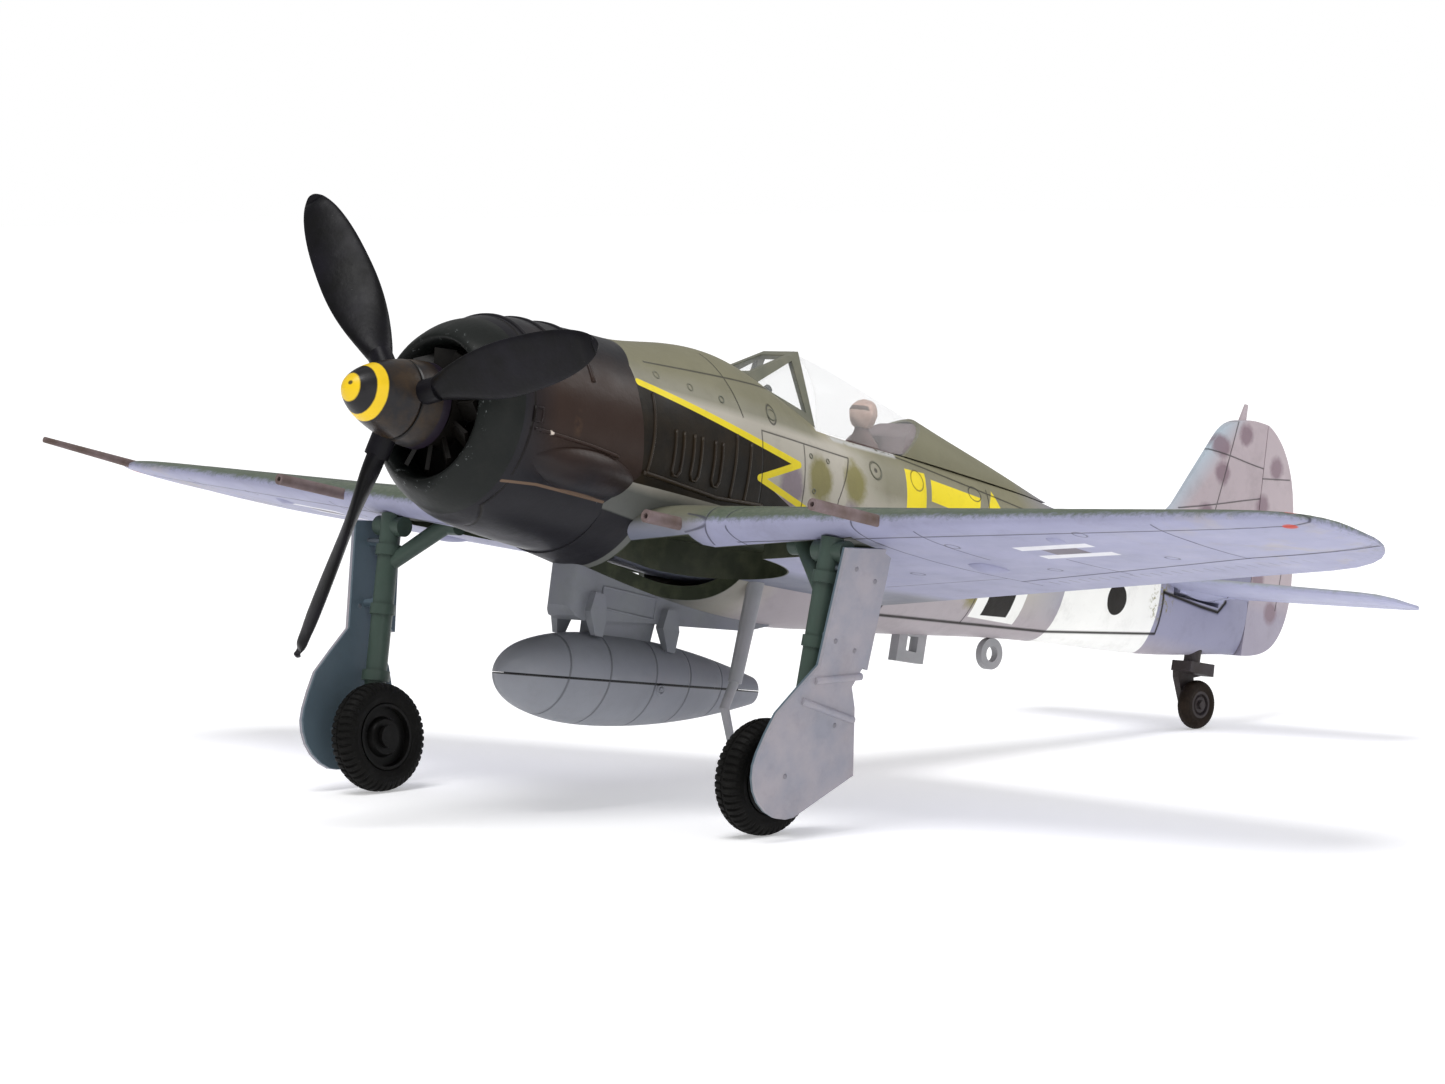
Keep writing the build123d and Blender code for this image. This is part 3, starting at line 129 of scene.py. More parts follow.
class Paint:
    """One painted finish: colour layers, roughness and relief over the flight-attitude axes."""

    def __init__(self, name, colour, roughness=0.5, metallic=0.0, shine=0.4):
        self.material = bpy.data.materials.new(name)
        self.material.use_nodes = True
        self.tree = self.material.node_tree
        self.shader = self.tree.nodes["Principled BSDF"]
        self.shader.inputs["Metallic"].default_value = metallic
        self.shader.inputs["Roughness"].default_value = roughness
        self.shader.inputs["Specular IOR Level"].default_value = shine
        self.base_roughness = roughness
        self.material.diffuse_color = (*colour, 1)
        coordinates = self.tree.nodes.new("ShaderNodeTexCoord")
        turn = self.tree.nodes.new("ShaderNodeMapping")
        tilt = math.atan2(UP.y, UP.z)
        turn.inputs["Scale"].default_value = (1 / MM,) * 3
        turn.inputs["Rotation"].default_value = (tilt, 0, 0)
        turn.inputs["Location"].default_value = from_row((0, 0, 0))
        self.tree.links.new(coordinates.outputs["Object"], turn.inputs["Vector"])
        self.place = turn.outputs["Vector"]
        split = self.tree.nodes.new("ShaderNodeSeparateXYZ")
        self.tree.links.new(self.place, split.inputs[0])
        self.x, self.y, self.z = (Field(self.tree, split.outputs[index]) for index in range(3))
        self.side = abs(self.x)
        self.layer = None
        self.plain = (*colour, 1)
        self.height = None
        self.gloss = None

    def noise(self, size, detail=3.0, rough=0.6, stretch=(1, 1, 1), seed=0.0):
        """Cloud noise from 0 to 1 with features of about this size in millimetres."""
        mapping = self.tree.nodes.new("ShaderNodeMapping")
        mapping.inputs["Scale"].default_value = tuple(part / size for part in stretch)
        mapping.inputs["Location"].default_value = (seed, seed * 0.7, -seed)
        self.tree.links.new(self.place, mapping.inputs["Vector"])
        texture = self.tree.nodes.new("ShaderNodeTexNoise")
        texture.inputs["Scale"].default_value = 1.0
        texture.inputs["Detail"].default_value = detail
        texture.inputs["Roughness"].default_value = rough
        self.tree.links.new(mapping.outputs["Vector"], texture.inputs["Vector"])
        return Field(self.tree, texture.outputs["Fac"])

    def cells(self, size, seed=0.0):
        """Distance to the nearest of scattered points, as a share of the spacing."""
        mapping = self.tree.nodes.new("ShaderNodeMapping")
        mapping.inputs["Scale"].default_value = (1 / size,) * 3
        mapping.inputs["Location"].default_value = (seed, -seed, seed * 0.3)
        self.tree.links.new(self.place, mapping.inputs["Vector"])
        texture = self.tree.nodes.new("ShaderNodeTexVoronoi")
        texture.inputs["Scale"].default_value = 1.0
        self.tree.links.new(mapping.outputs["Vector"], texture.inputs["Vector"])
        return Field(self.tree, texture.outputs["Distance"])

    def over(self, mask, colour, strength=1.0):
        """Lay a colour over what is there, where the mask is 1."""
        node = self.tree.nodes.new("ShaderNodeMix")
        node.data_type = "RGBA"
        if strength != 1.0:
            mask = mask * strength
        self.tree.links.new(mask.socket, node.inputs["Factor"])
        if self.layer is None:
            node.inputs[6].default_value = self.plain
        else:
            self.tree.links.new(self.layer, node.inputs[6])
        node.inputs[7].default_value = (*colour, 1)
        self.layer = node.outputs[2]

    def vary(self, field, low, high):
        """Darken and lighten the colour from low to high as the field goes from 0 to 1."""
        node = self.tree.nodes.new("ShaderNodeMix")
        node.data_type = "RGBA"
        node.blend_type = "MULTIPLY"
        node.inputs["Factor"].default_value = 1.0
        shade = (field * (high - low)) + low
        if self.layer is None:
            node.inputs[6].default_value = self.plain
        else:
            self.tree.links.new(self.layer, node.inputs[6])
        self.tree.links.new(shade.socket, node.inputs[7])
        self.layer = node.outputs[2]

    def relief(self, mask, depth):
        """Raise the surface by a depth in millimetres where the mask is 1."""
        step = mask * depth
        self.height = step if self.height is None else self.height + step

    def polish(self, field, change):
        step = field * change
        self.gloss = step if self.gloss is None else self.gloss + step

    def segment(self, along, across, start, end):
        """Distance from a straight line in the plane of two of the fields."""
        run = (end[0] - start[0], end[1] - start[1])
        length = run[0] ** 2 + run[1] ** 2
        offset = (along - start[0], across - start[1])
        share = ((offset[0] * run[0] + offset[1] * run[1]) * (1 / length)).clamped()
        gap = (offset[0] - share * run[0], offset[1] - share * run[1])
        return (gap[0] * gap[0] + gap[1] * gap[1]).root()

    def lines(self, along, across, *paths):
        """Distance from the nearest of several polylines."""
        gaps = [
            self.segment(along, across, start, end)
            for path in paths for start, end in zip(path, path[1:])
        ]
        return reduce(lambda a, b: a.least(b), gaps)

    def disc(self, along, across, centre, radius, flatten=1.0):
        """Distance outside an ellipse's edge, negative inside it."""
        a, b = along - centre[0], (across - centre[1]) * flatten
        return (a * a + b * b).root() - radius

    def polygon(self, along, across, *corners):
        """Distance outside a convex polygon's sides, with its corners in anticlockwise order."""
        sides = []
        for start, end in zip(corners, corners[1:] + corners[:1]):
            run = (end[0] - start[0], end[1] - start[1])
            length = math.hypot(*run)
            normal = (run[1] / length, -run[0] / length)
            reach = start[0] * normal[0] + start[1] * normal[1]
            sides.append(along * normal[0] + across * normal[1] - reach)
        return reduce(lambda a, b: a.most(b), sides)

    def engrave(self, distance, width=0.16, colour=(0.03, 0.03, 0.03), strength=0.75, depth=0.08):
        """A fine sunk line with dirt in it."""
        self.over(distance.below(width / 2, width * 0.5), colour, strength)
        self.relief(distance.below(width / 2, width), -depth)

    def worn(self, chips=(0.42, 0.40, 0.38), amount=0.5, grime=(0.05, 0.045, 0.04)):
        """Fine wear that every painted surface has: soft dirt, chips, roughness and grain."""
        self.vary(self.noise(9.0, 4.0, seed=2.0), 0.86, 1.12)
        self.over(self.noise(3.2, 5.0, 0.75, seed=5.0).above(0.62, 0.22), grime, 0.28 * amount)
        self.over(self.noise(0.55, 4.0, 0.8, seed=9.0).above(0.74, 0.05), chips, 0.8 * amount)
        self.polish(self.noise(2.4, 4.0, seed=3.0) - 0.5, 0.35)
        self.relief(self.noise(0.35, 3.0, 0.6, seed=4.0), 0.012)
        self.relief(self.noise(1.8, 2.0, 0.5, seed=6.0), 0.03)

    def done(self):
        if self.layer is not None:
            self.tree.links.new(self.layer, self.shader.inputs["Base Color"])
        else:
            self.shader.inputs["Base Color"].default_value = self.plain
        if self.gloss is not None:
            rough = (self.gloss + self.base_roughness).clamped()
            self.tree.links.new(rough.socket, self.shader.inputs["Roughness"])
        if self.height is not None:
            bump = self.tree.nodes.new("ShaderNodeBump")
            bump.inputs["Distance"].default_value = MM
            bump.inputs["Strength"].default_value = 1.0
            self.tree.links.new(self.height.socket, bump.inputs["Height"])
            self.tree.links.new(bump.outputs["Normal"], self.shader.inputs["Normal"])
        return self.material


# colours, as linear red, green and blue
OLIVE = (0.31, 0.275, 0.160)
DECK_OLIVE = (0.205, 0.20, 0.140)
GREY_GREEN = (0.52, 0.485, 0.42)
MOTTLE_OLIVE = (0.23, 0.205, 0.055)
MOTTLE_MAUVE = (0.26, 0.205, 0.26)
LILAC = (0.36, 0.365, 0.52)
SKY = (0.46, 0.55, 0.63)
WING_GREEN = (0.095, 0.125, 0.088)
COWL_BLACK = (0.013, 0.0125, 0.016)
COWL_BROWN = (0.040, 0.0225, 0.0165)
SOOT = (0.0085, 0.0065, 0.0045)
YELLOW = (0.90, 0.60, 0.015)
BRIGHT_YELLOW = (0.92, 0.74, 0.030)
WHITE = (0.93, 0.93, 0.90)
BELLY = (0.41, 0.37, 0.39)
TAIL_GREY = (0.30, 0.30, 0.41)
FIN_PALE = (0.50, 0.425, 0.455)
FIN_MAUVE = (0.24, 0.165, 0.20)
GEAR_GREEN = (0.050, 0.078, 0.062)
DOOR_GREY = (0.36, 0.335, 0.365)
DOOR_INSIDE_AND_SHADE = (0.095, 0.135, 0.165)
TANK_GREY = (0.235, 0.245, 0.275)
RACK_GREY = (0.205, 0.212, 0.245)
FITTING_GREY_LIT = (0.36, 0.35, 0.37)
# the wheel bays' green, darkened with painted shade of the recess
BAY_GREEN_AND_SHADE = (0.022, 0.028, 0.014)

# where the fuselage's markings and panels lie in side view, as (y, z)
FLASH_LINE = ((25.0, 5.5), (45.2, 2.3), (39.9, 0.2), (46.4, -1.3))
SIDE_DOOR = ((40.3, -2.0), (40.0, 4.3), (52.9, 4.3), (51.0, 0.3), (50.4, -2.0))
MOTTLES = (
    ((48.3, 1.6), 1.7, MOTTLE_OLIVE), ((53.4, 2.2), 1.6, MOTTLE_OLIVE), ((44.3, 0.3), 1.7, MOTTLE_MAUVE),
    ((53.0, -1.2), 1.3, MOTTLE_MAUVE), ((66.5, -0.6), 2.0, MOTTLE_OLIVE), ((59.5, -3.2), 1.8, MOTTLE_MAUVE),
    ((77.5, 1.2), 1.9, MOTTLE_MAUVE), ((73.0, -3.6), 1.7, MOTTLE_OLIVE), ((99.0, -0.4), 1.9, MOTTLE_OLIVE),
)
FIN_MOTTLES = (
    (109.4, 16.2), (112.8, 17.9), (109.8, 13.6), (118.2, 15.6), (116.6, 11.6), (113.6, 8.6), (119.8, 8.2),
    (117.2, 4.4), (120.2, 1.6), (108.0, 9.2),
)


def bay_mask(p):
    """The walls and roof of the wheel bays, seen in plan."""
    plan = reduce(
        lambda a, b: a.least(b),
        (
            p.disc(p.side, p.y, (8.6, 35.2), 6.8),
            p.polygon(p.side, p.y, (1.9, 28.2), (13.0, 28.2), (13.0, 35.2), (1.9, 35.2)),
            p.polygon(p.side, p.y, (12.0, 30.8), (29.0, 30.8), (29.0, 34.8), (12.0, 34.8)),
        ),
    )
    return plan.below(0.12, 0.1) * p.z.below(-5.6, 0.1)


def green_bay_and_shade(p):
    mask = bay_mask(p)
    # painted shade: the bays' green is laid near black, the darkness of the recess painted into its colour
    p.over(mask, BAY_GREEN_AND_SHADE)
    p.over(mask * p.noise(2.5, 4.0, seed=4.4).above(0.52, 0.2), (0.055, 0.062, 0.034), 0.8)


def fuselage_paint():
    """Olive top, grey-green sides with soft mottles, the black flash, bars, a white band and a pale fin."""
    p = Paint("fuselage_paint", GREY_GREEN, roughness=0.45, shine=0.18)
    y, z = p.y, p.z
    wander = (p.noise(6.0, 3.0, seed=1.0) - 0.5) * 2.4
    # the upper colour comes down to a line that falls towards the tail
    crown = z + y * 0.055 + wander * 0.5
    p.over(crown.above(8.4, 1.4), OLIVE)
    p.over(z.above(5.2, 0.8) * y.between(24, 49, 2.0), DECK_OLIVE, 0.75)
    p.over(z.above(6.2, 0.5) * y.above(62, 3.0), DECK_OLIVE, 0.8)
    p.over((z + wander * 0.5).above(1.2, 2.4) * y.between(55.0, 84.0, 6.0), (0.215, 0.205, 0.135), 0.8)
    p.over(y.above(84.0, 10.0), TAIL_GREY)
    p.over(z.below(-4.4, 2.4) * y.above(45, 4.0), BELLY)
    p.over((z + wander * 0.4).below(-3.0, 1.6) * y.below(42, 8.0), (0.13, 0.135, 0.125))
    blur = (p.noise(1.1, 3.0, 0.7, seed=8.0) - 0.5) * 1.1
    for centre, radius, colour in MOTTLES:
        p.over((p.disc(y, z, centre, radius, 0.8) + blur).below(-0.1, 0.8), colour, 0.85)
    # pale fin with mauve mottles and a blue leading edge
    fin = z.above(4.9, 0.8) * y.above(99.0, 2.0)
    p.over(fin, FIN_PALE)
    p.over(fin * (y - z * 0.72).below(97.6, 2.6), SKY)
    for centre in FIN_MOTTLES:
        p.over((p.disc(y, z, centre, 1.05) + blur * 0.7).below(0.0, 0.6), FIN_MAUVE, 0.85)
    # white band, with a plain dark square ahead of it and a plain dark disc in it
    p.over(y.between(86.0, 101.0, 0.08) * z.below(4.2, 1.5), WHITE)
    p.over(p.polygon(y, z, (73.6, -6.4), (80.6, -6.0), (80.6, -2.4), (73.6, -2.4)).below(0, 0.06), WHITE)
    p.over(p.polygon(y, z, (75.2, -6.0), (79.0, -5.6), (79.0, -3.2), (75.2, -3.2)).below(0, 0.06), SOOT)
    p.over(p.disc(y, z, (94.3, -1.3), 1.5).below(0, 0.06), SOOT)
    speckle = p.noise(0.7, 4.0, 0.8, seed=19.0).above(0.56, 0.08)
    p.over(speckle * p.disc(y, z, (101.5, -0.4), 1.8).below(0, 1.0), MOTTLE_OLIVE, 0.9)
    # yellow block and bar
    bars = any_of(
        p.polygon(y, z, (60.6, -0.6), (63.4, -0.6), (64.0, 5.0), (61.0, 4.9)).below(0, 0.06),
        p.polygon(y, z, (64.5, 2.6), (71.6, 2.2), (72.4, 4.3), (64.8, 4.6)).below(0, 0.06),
        p.polygon(y, z, (73.4, 3.6), (75.6, 3.5), (74.5, 5.3)).below(0, 0.06),
    )
    p.over(bars, BRIGHT_YELLOW)
    p.engrave(abs(p.disc(y, z, (62.6, 4.1), 0.9)), 0.12, (0.2, 0.15, 0.02))
    # the black flash behind the cowling, edged with yellow
    reach = reduce(
        lambda a, b: a.least(b),
        (
            p.polygon(y, z, (20.0, -3.0), (39.9, -3.0), (39.9, 3.15), (25.0, 5.5), (20.0, 6.3)),
            p.polygon(y, z, (39.5, 0.05), (45.2, 2.3), (39.5, 3.2)),
            p.polygon(y, z, (39.5, -3.2), (49.0, -3.2), (39.5, 0.35)),
        ),
    )
    black = reach.below(0.0, 0.05)
    p.over(black, SOOT)
    p.over(black * p.noise(4.0, 4.0, seed=12.0).above(0.52, 0.25), (0.026, 0.017, 0.008), 0.7)
    p.over(p.lines(y, z, FLASH_LINE).below(0.30, 0.05), BRIGHT_YELLOW)
    # panel lines
    panels = p.lines(
        y, z, SIDE_DOOR, ((45.9, -2.0), (46.1, 4.3)), ((56.0, 6.0), (63.0, 5.6), (84.0, 4.2)),
        ((73.6, 5.2), (73.2, -7.0)), ((35.6, 10.0), (37.6, 5.0)), ((108.0, 4.6), (111.4, 19.0)),
        ((104.5, 9.2), (116.0, 12.2)), ((107.4, 15.6), (120.0, 15.0)), ((27.0, 7.6), (44.0, 8.6)),
    )
    p.engrave(panels, 0.13)
    belly_seam = p.lines(
        y, z, ((61.0, -8.3), (86.0, -5.8), (101.8, -3.4), (101.6, 0.6)), ((61.0, -8.3), (61.4, 1.0))
    )
    p.engrave(belly_seam, 0.24, SOOT, 0.95, 0.12)
    p.engrave(abs(p.disc(y, z, (56.6, 3.9), 0.75)), 0.13)
    p.engrave(p.disc(y, z, (56.6, 3.9), 0.12), 0.16)
    p.engrave(abs(p.disc(y, z, (71.5, 4.5), 0.95, 1.5)), 0.12)
    p.engrave(abs(p.disc(y, z, (41.8, 6.0), 0.62, 0.75)), 0.13)
    # the thick dark outline round the tailplane's root
    root = p.lines(y, z, ((101.6, 0.6), (108.0, 0.25), (111.0, 0.2), (112.2, 1.4)))
    p.engrave(root, 0.34, SOOT, 1.0, 0.1)
    # a worn light strip along the cockpit sill
    sill = p.lines(y, z, ((51.0, 5.75), (60.0, 5.85)))
    rubbed = sill.below(0.22, 0.25) * p.noise(0.8, 4.0, 0.8, seed=21.0).above(0.42, 0.1)
    p.over(rubbed, (0.62, 0.62, 0.62), 0.85)
    # the cowl's black carries on over the belly as far as the centre section's seam
    p.over(z.below(-5.1, 0.1) * y.below(27.4, 0.1) * p.side.below(7.6, 0.1), COWL_BLACK)
    green_bay_and_shade(p)
    p.worn()
    return p.done()


def cowl_paint():
    """Blue-black above and below, browner on the sides, with panel breaks."""
    p = Paint("cowl_paint", COWL_BLACK, roughness=0.36, shine=0.20)
    y, z = p.y, p.z
    cloud = (p.noise(7.0, 4.0, seed=1.5) - 0.5) * 5.0
    p.over((abs(z - 1.6) + cloud).below(4.6, 3.5) * y.above(14.0, 3.0), COWL_BROWN, 0.9)
    p.engrave(p.lines(y, z, ((13.3, 9.0), (13.0, -4.6))), 0.14, SOOT)
    p.engrave(p.lines(y, z, ((13.1, -5.4), (12.8, -7.3), (14.5, -8.8))), 0.14, SOOT)
    seam = p.lines(y, z, ((12.6, -5.25), (15.5, -5.0), (22.8, -5.1)))
    p.over(seam.below(0.11, 0.06), (0.20, 0.13, 0.085), 0.75)
    streak = p.disc(y, z, (17.6, 0.4), 0.28, 0.35).below(0, 0.5)
    p.over(streak * p.noise(1.0, 4.0, seed=31.0).above(0.5, 0.2), (0.10, 0.055, 0.03), 0.8)
    p.over(p.disc(y, z, (14.95, -0.75), 0.18).below(0, 0.1), (0.75, 0.66, 0.58))
    p.over(p.cells(4.4, 4.0).below(0.032, 0.012), (0.40, 0.38, 0.38), 0.85)
    p.worn((0.12, 0.11, 0.12), 0.22, (0.008, 0.008, 0.010))
    return p.done()


def nose_paint():
    """Green-black, with the paint chipped along the intake's lip."""
    p = Paint("nose_paint", (0.010, 0.012, 0.011), roughness=0.42, shine=0.18)
    lip = (p.x * p.x + p.z * p.z).root().between(5.4, 6.8, 0.3) * p.y.below(10.0, 0.3)
    p.over(lip * p.noise(0.5, 4.0, 0.8, seed=29.0).above(0.635, 0.03), (0.22, 0.24, 0.24), 0.8)
    p.worn((0.20, 0.21, 0.21), 0.4)
    return p.done()


def wing_paint():
    """Speckled green over the top and leading edge, lilac-grey below, tan towards the tip."""
    p = Paint("wing_paint", LILAC, roughness=0.5)
    x, y, z, side = p.x, p.y, p.z, p.side
    behind = y - (side * 0.0929 + 26.1)
    middle = side * 0.0635 - 6.60 - behind * 0.035
    above = z - middle
    speckle = p.noise(0.5, 4.0, 0.8, seed=3.5) - 0.5
    cloud = p.noise(5.0, 3.0, seed=7.0) - 0.5
    p.vary(p.noise(11.0, 3.0, seed=2.2), 0.86, 1.06)
    p.over(cloud.above(0.10, 0.2) * side.above(58, 12), (0.46, 0.40, 0.30), 0.6)
    p.over((above + speckle * 1.3 + cloud * 0.5).above(0.25, 0.6), WING_GREEN)
    top = above.above(0.5, 0.8)
    p.over(top * (speckle + 0.5).above(0.54, 0.2), (0.18, 0.205, 0.155), 0.7)
    p.over(top * (cloud + 0.5).above(0.55, 0.1) * behind.above(4, 2), (0.11, 0.12, 0.105), 0.8)
    p.over(side.below(14.5, 3.0) * above.above(-0.6, 1.6), (0.20, 0.19, 0.135), 0.8)
    # painted shade: the underside near the root is darkened to a dull blue-grey where the fuselage and its
    # fittings shade it
    root = side.below(13.0, 3.0) * above.below(0.0, 2.0)
    p.over(root, (0.15, 0.165, 0.21), 0.85)
    # two plain light bars under each wing
    under = above.below(-0.3, 0.3)
    mark = any_of(
        p.polygon(side, y, (41.6, 36.2), (49.2, 36.2), (49.2, 37.5), (41.6, 37.5)).below(0, 0.06),
        p.polygon(side, y, (41.6, 39.5), (49.2, 39.5), (49.2, 40.8), (41.6, 40.8)).below(0, 0.06),
    )
    p.over(mark * under, (0.80, 0.80, 0.84))
    between = p.polygon(side, y, (43.6, 37.5), (47.2, 37.5), (47.2, 39.5), (43.6, 39.5)).below(0, 0.1)
    p.over(between * under, (0.16, 0.14, 0.17))
    seams = p.lines(
        side, y, ((58.9, 32.4), (58.6, 44.9), (71.5, 43.6)), ((30.5, 28.6), (30.5, 53.0)),
        ((16.0, 49.6), (30.5, 48.6)),
        ((43.0, 41.4), (43.0, 49.6)), ((17.5, 27.9), (17.5, 30.6)), ((36.0, 30.6), (36.0, 40.0)),
        ((13.0, 27.8), (15.4, 27.6), (14.2, 30.2)),
    )
    p.engrave(seams, 0.14, (0.06, 0.06, 0.09), 0.75)
    # the joint of the leading edge panel, and the break ahead of the aileron
    p.engrave(abs(behind - 2.3) + side.below(17.0, 0.1) * 9.0, 0.22, (0.05, 0.05, 0.07), 0.8 )
    hinge = p.lines(side, y, ((30.5, 50.5), (58.6, 44.9), (72.0, 43.9)))
    p.engrave(hinge, 0.26, (0.03, 0.03, 0.05), 0.9, 0.12)
    tick_row = (y + side * 0.157 - 57.2).between(-0.75, 0.75, 0.1)
    ticks = tick_row * (side * 0.8).math("FRACT").below(0.16, 0.05)
    p.over(ticks * under * side.between(32, 64, 1), (0.08, 0.08, 0.10), 0.75)
    for spot in ((36.5, 34.8), (50.8, 33.6), (38.2, 45.6), (52.4, 43.2), (24.6, 44.0)):
        p.engrave(abs(p.disc(side, y, spot, 0.5, 0.7)), 0.12, (0.08, 0.08, 0.11), 0.7)
    p.over(p.disc(side, y, (70.2, 35.2), 0.6).below(0, 0.15) * above.above(-0.7, 0.2), (0.55, 0.04, 0.02))
    green_bay_and_shade(p)
    p.worn((0.52, 0.50, 0.50), 0.5)
    return p.done()


def plain_paint(
    name, colour, roughness=0.5, metallic=0.0, chips=(0.45, 0.43, 0.42), amount=0.5, second=None, shine=0.3
):
    """A single colour with clouding, wear and grain, and sometimes a second colour in patches."""
    p = Paint(name, colour, roughness, metallic, shine=shine)
    if second:
        p.over(p.noise(3.0, 4.0, seed=14.0).above(0.5, 0.3), second, 0.8)
    p.worn(chips, amount)
    return p.done()


def rudder_paint():
    p = Paint("rudder_paint", FIN_PALE, roughness=0.5)
    y, z = p.y, p.z
    p.over(z.below(2.6, 3.0), TAIL_GREY, 0.6)
    blur = (p.noise(1.1, 3.0, 0.7, seed=8.0) - 0.5) * 1.1
    for centre in FIN_MOTTLES:
        p.over((p.disc(y, z, centre, 1.05) + blur * 0.7).below(0.0, 0.6), FIN_MAUVE, 0.85)
    p.engrave(p.lines(y, z, ((116.0, 14.2), (120.6, 14.9)), ((121.0, 2.0), (121.4, 9.0), (123.5, 9.2))), 0.13)
    p.worn()
    return p.done()


def tailplane_paint():
    p = Paint("tailplane_paint", (0.40, 0.41, 0.57), roughness=0.5)
    height = p.z - 1.9
    p.over((height + (p.noise(0.8, 4.0, seed=3.0) - 0.5) * 0.8).above(0.15, 0.4), (0.30, 0.335, 0.33), 0.9)
    p.engrave(p.lines(p.side, p.y, ((2.0, 109.2), (23.0, 109.2)), ((23.0, 109.2), (23.4, 114.0))), 0.14)
    p.worn()
    return p.done()


def spinner_paint():
    """Bands along the axis: yellow tip, blue-black, yellow, black and a dark purple rear ring."""
    p = Paint("spinner_paint", (0.011, 0.010, 0.012), roughness=0.34, shine=0.3)
    y = p.y + (p.noise(1.5, 3.0, seed=2.0) - 0.5) * 0.12
    p.over(p.noise(2.6, 4.0, seed=6.0).above(0.52, 0.25) * y.above(2.8, 0.3), (0.045, 0.027, 0.013), 0.85)
    p.over(y.above(7.6, 0.1), (0.016, 0.011, 0.020))
    p.over(y.below(0.62, 0.1), YELLOW)
    p.over(y.between(1.75, 2.60, 0.1), YELLOW)
    p.over(p.disc(p.x, p.z, (0.45, 0.3), 0.18).below(0, 0.1) * y.below(1.2, 0.1), (0.02, 0.02, 0.02), 0.9)
    p.engrave(abs(p.y - 5.6), 0.20, (0.004, 0.004, 0.004), 1.0, 0.15)
    p.worn((0.20, 0.19, 0.18), 0.3, (0.010, 0.008, 0.008))
    return p.done()


def blade_paint():
    """Satin black with a faint blue bloom, and a few bright specks that gather towards the tips."""
    p = Paint("blade_paint", (0.0045, 0.0044, 0.0048), roughness=0.40, shine=0.13)
    reach = (p.x * p.x + p.z * p.z).root()
    p.over(p.noise(4.0, 3.0, seed=2.0).above(0.55, 0.3), (0.010, 0.009, 0.014), 0.8)
    chips = p.noise(0.34, 4.0, 0.8, seed=9.0) + (reach * 0.0030)
    p.over(chips.above(0.765, 0.02), (0.13, 0.125, 0.12), 0.7)
    p.polish(p.noise(2.0, 4.0, seed=3.0) - 0.5, 0.3)
    p.relief(p.noise(0.4, 3.0, 0.6, seed=4.0), 0.012)
    p.relief(p.noise(2.2, 3.0, 0.6, seed=7.0), 0.05)
    return p.done()


def tank_paint():
    """Grey, with the fine ring grooves between its plates."""
    p = Paint("tank_paint", TANK_GREY, roughness=0.42)
    p.vary(p.noise(8.0, 4.0, seed=1.0), 0.84, 1.18)
    p.over(p.noise(2.5, 5.0, 0.7, seed=17.0).above(0.62, 0.15), (0.26, 0.245, 0.27), 0.35)
    along = p.y - p.z * 0.105
    seam = p.z + 20.1 - (p.y - 21.2) * 0.105
    p.over(abs(seam).below(0.10, 0.05), (0.012, 0.012, 0.014))
    for station in (28.4, 32.6, 38.0, 42.4, 46.9):
        p.engrave(abs(along - station), 0.16, (0.07, 0.075, 0.09), 0.6, 0.10)
    p.worn((0.34, 0.34, 0.37), 0.35)
    return p.done()


def door_paint():
    """Pale grey outside and dark blue-green inside, the inside's darkness partly painted shade, with rows of small
    rivets.
    """
    p = Paint("door_paint", DOOR_GREY, roughness=0.45)
    p.over(p.noise(3.0, 4.0, seed=14.0).above(0.5, 0.3), (0.265, 0.275, 0.325), 0.8)
    cant = math.radians(7.0)
    out = (p.side - 28.65) * math.cos(cant) - (p.z + 18.0) * math.sin(cant)
    # painted shade: the inboard face gets a dark blue-green, its own colour darkened to the shade it sits in
    p.over(out.below(0.22, 0.05), DOOR_INSIDE_AND_SHADE)
    spots = ((30.2, -14.4), (32.6, -14.8), (30.6, -8.4), (33.0, -9.0), (28.2, -25.8), (32.4, -21.0))
    heads = reduce(lambda a, b: a.least(b), [p.disc(p.y, p.z, spot, 0.14) for spot in spots])
    p.engrave(heads, 0.10, (0.12, 0.11, 0.12), 0.45, -0.08)
    p.worn()
    return p.done()


def rubber(name, colour):
    p = Paint(name, colour, roughness=0.62, shine=0.12)
    p.over(p.noise(1.2, 4.0, 0.7, seed=2.0).above(0.58, 0.2), tuple(2.3 * part for part in colour), 0.6)
    p.over(p.noise(0.4, 3.0, 0.8, seed=8.0).above(0.77, 0.04), (0.05, 0.045, 0.04), 0.5)
    p.relief(p.noise(0.3, 3.0, 0.6, seed=4.0), 0.02)
    p.polish(p.noise(1.0, 3.0, seed=3.0) - 0.5, 0.3)
    return p.done()


def head_paint():
    """A tan face under a dark brown helmet with a pale goggle band."""
    p = Paint("head_paint", (0.78, 0.56, 0.48), roughness=0.6, shine=0.25)
    p.over(p.noise(0.7, 3.0, seed=5.0).above(0.55, 0.2), (0.62, 0.38, 0.30), 0.6)
    blur = (p.noise(0.5, 3.0, 0.7, seed=8.0) - 0.5) * 0.4
    p.over(any_of((p.y + blur).above(60.0, 0.2), (p.z + blur).above(10.35, 0.2)), (0.60, 0.43, 0.37))
    p.over((p.z + blur * 0.3).between(9.75, 10.15, 0.1) * p.y.below(59.6, 0.2), (0.12, 0.085, 0.07), 0.9)
    p.worn((0.60, 0.52, 0.46), 0.5)
    return p.done()


def clear_plastic():
    """Thin clear plastic: mostly see-through, with a faint tint and fine scratches in its shine."""
    p = Paint("clear_plastic", (0.95, 0.97, 0.97), roughness=0.04)
    p.shader.inputs["Alpha"].default_value = 0.10
    p.shader.inputs["Specular IOR Level"].default_value = 0.35
    p.polish(p.noise(0.6, 4.0, seed=3.0).above(0.6, 0.2), 0.12)
    p.over(p.noise(3.0, 3.0, seed=5.0), (0.86, 0.90, 0.90), 0.5)
    p.relief(p.noise(2.5, 2.0, seed=6.0), 0.01)
    return p.done()


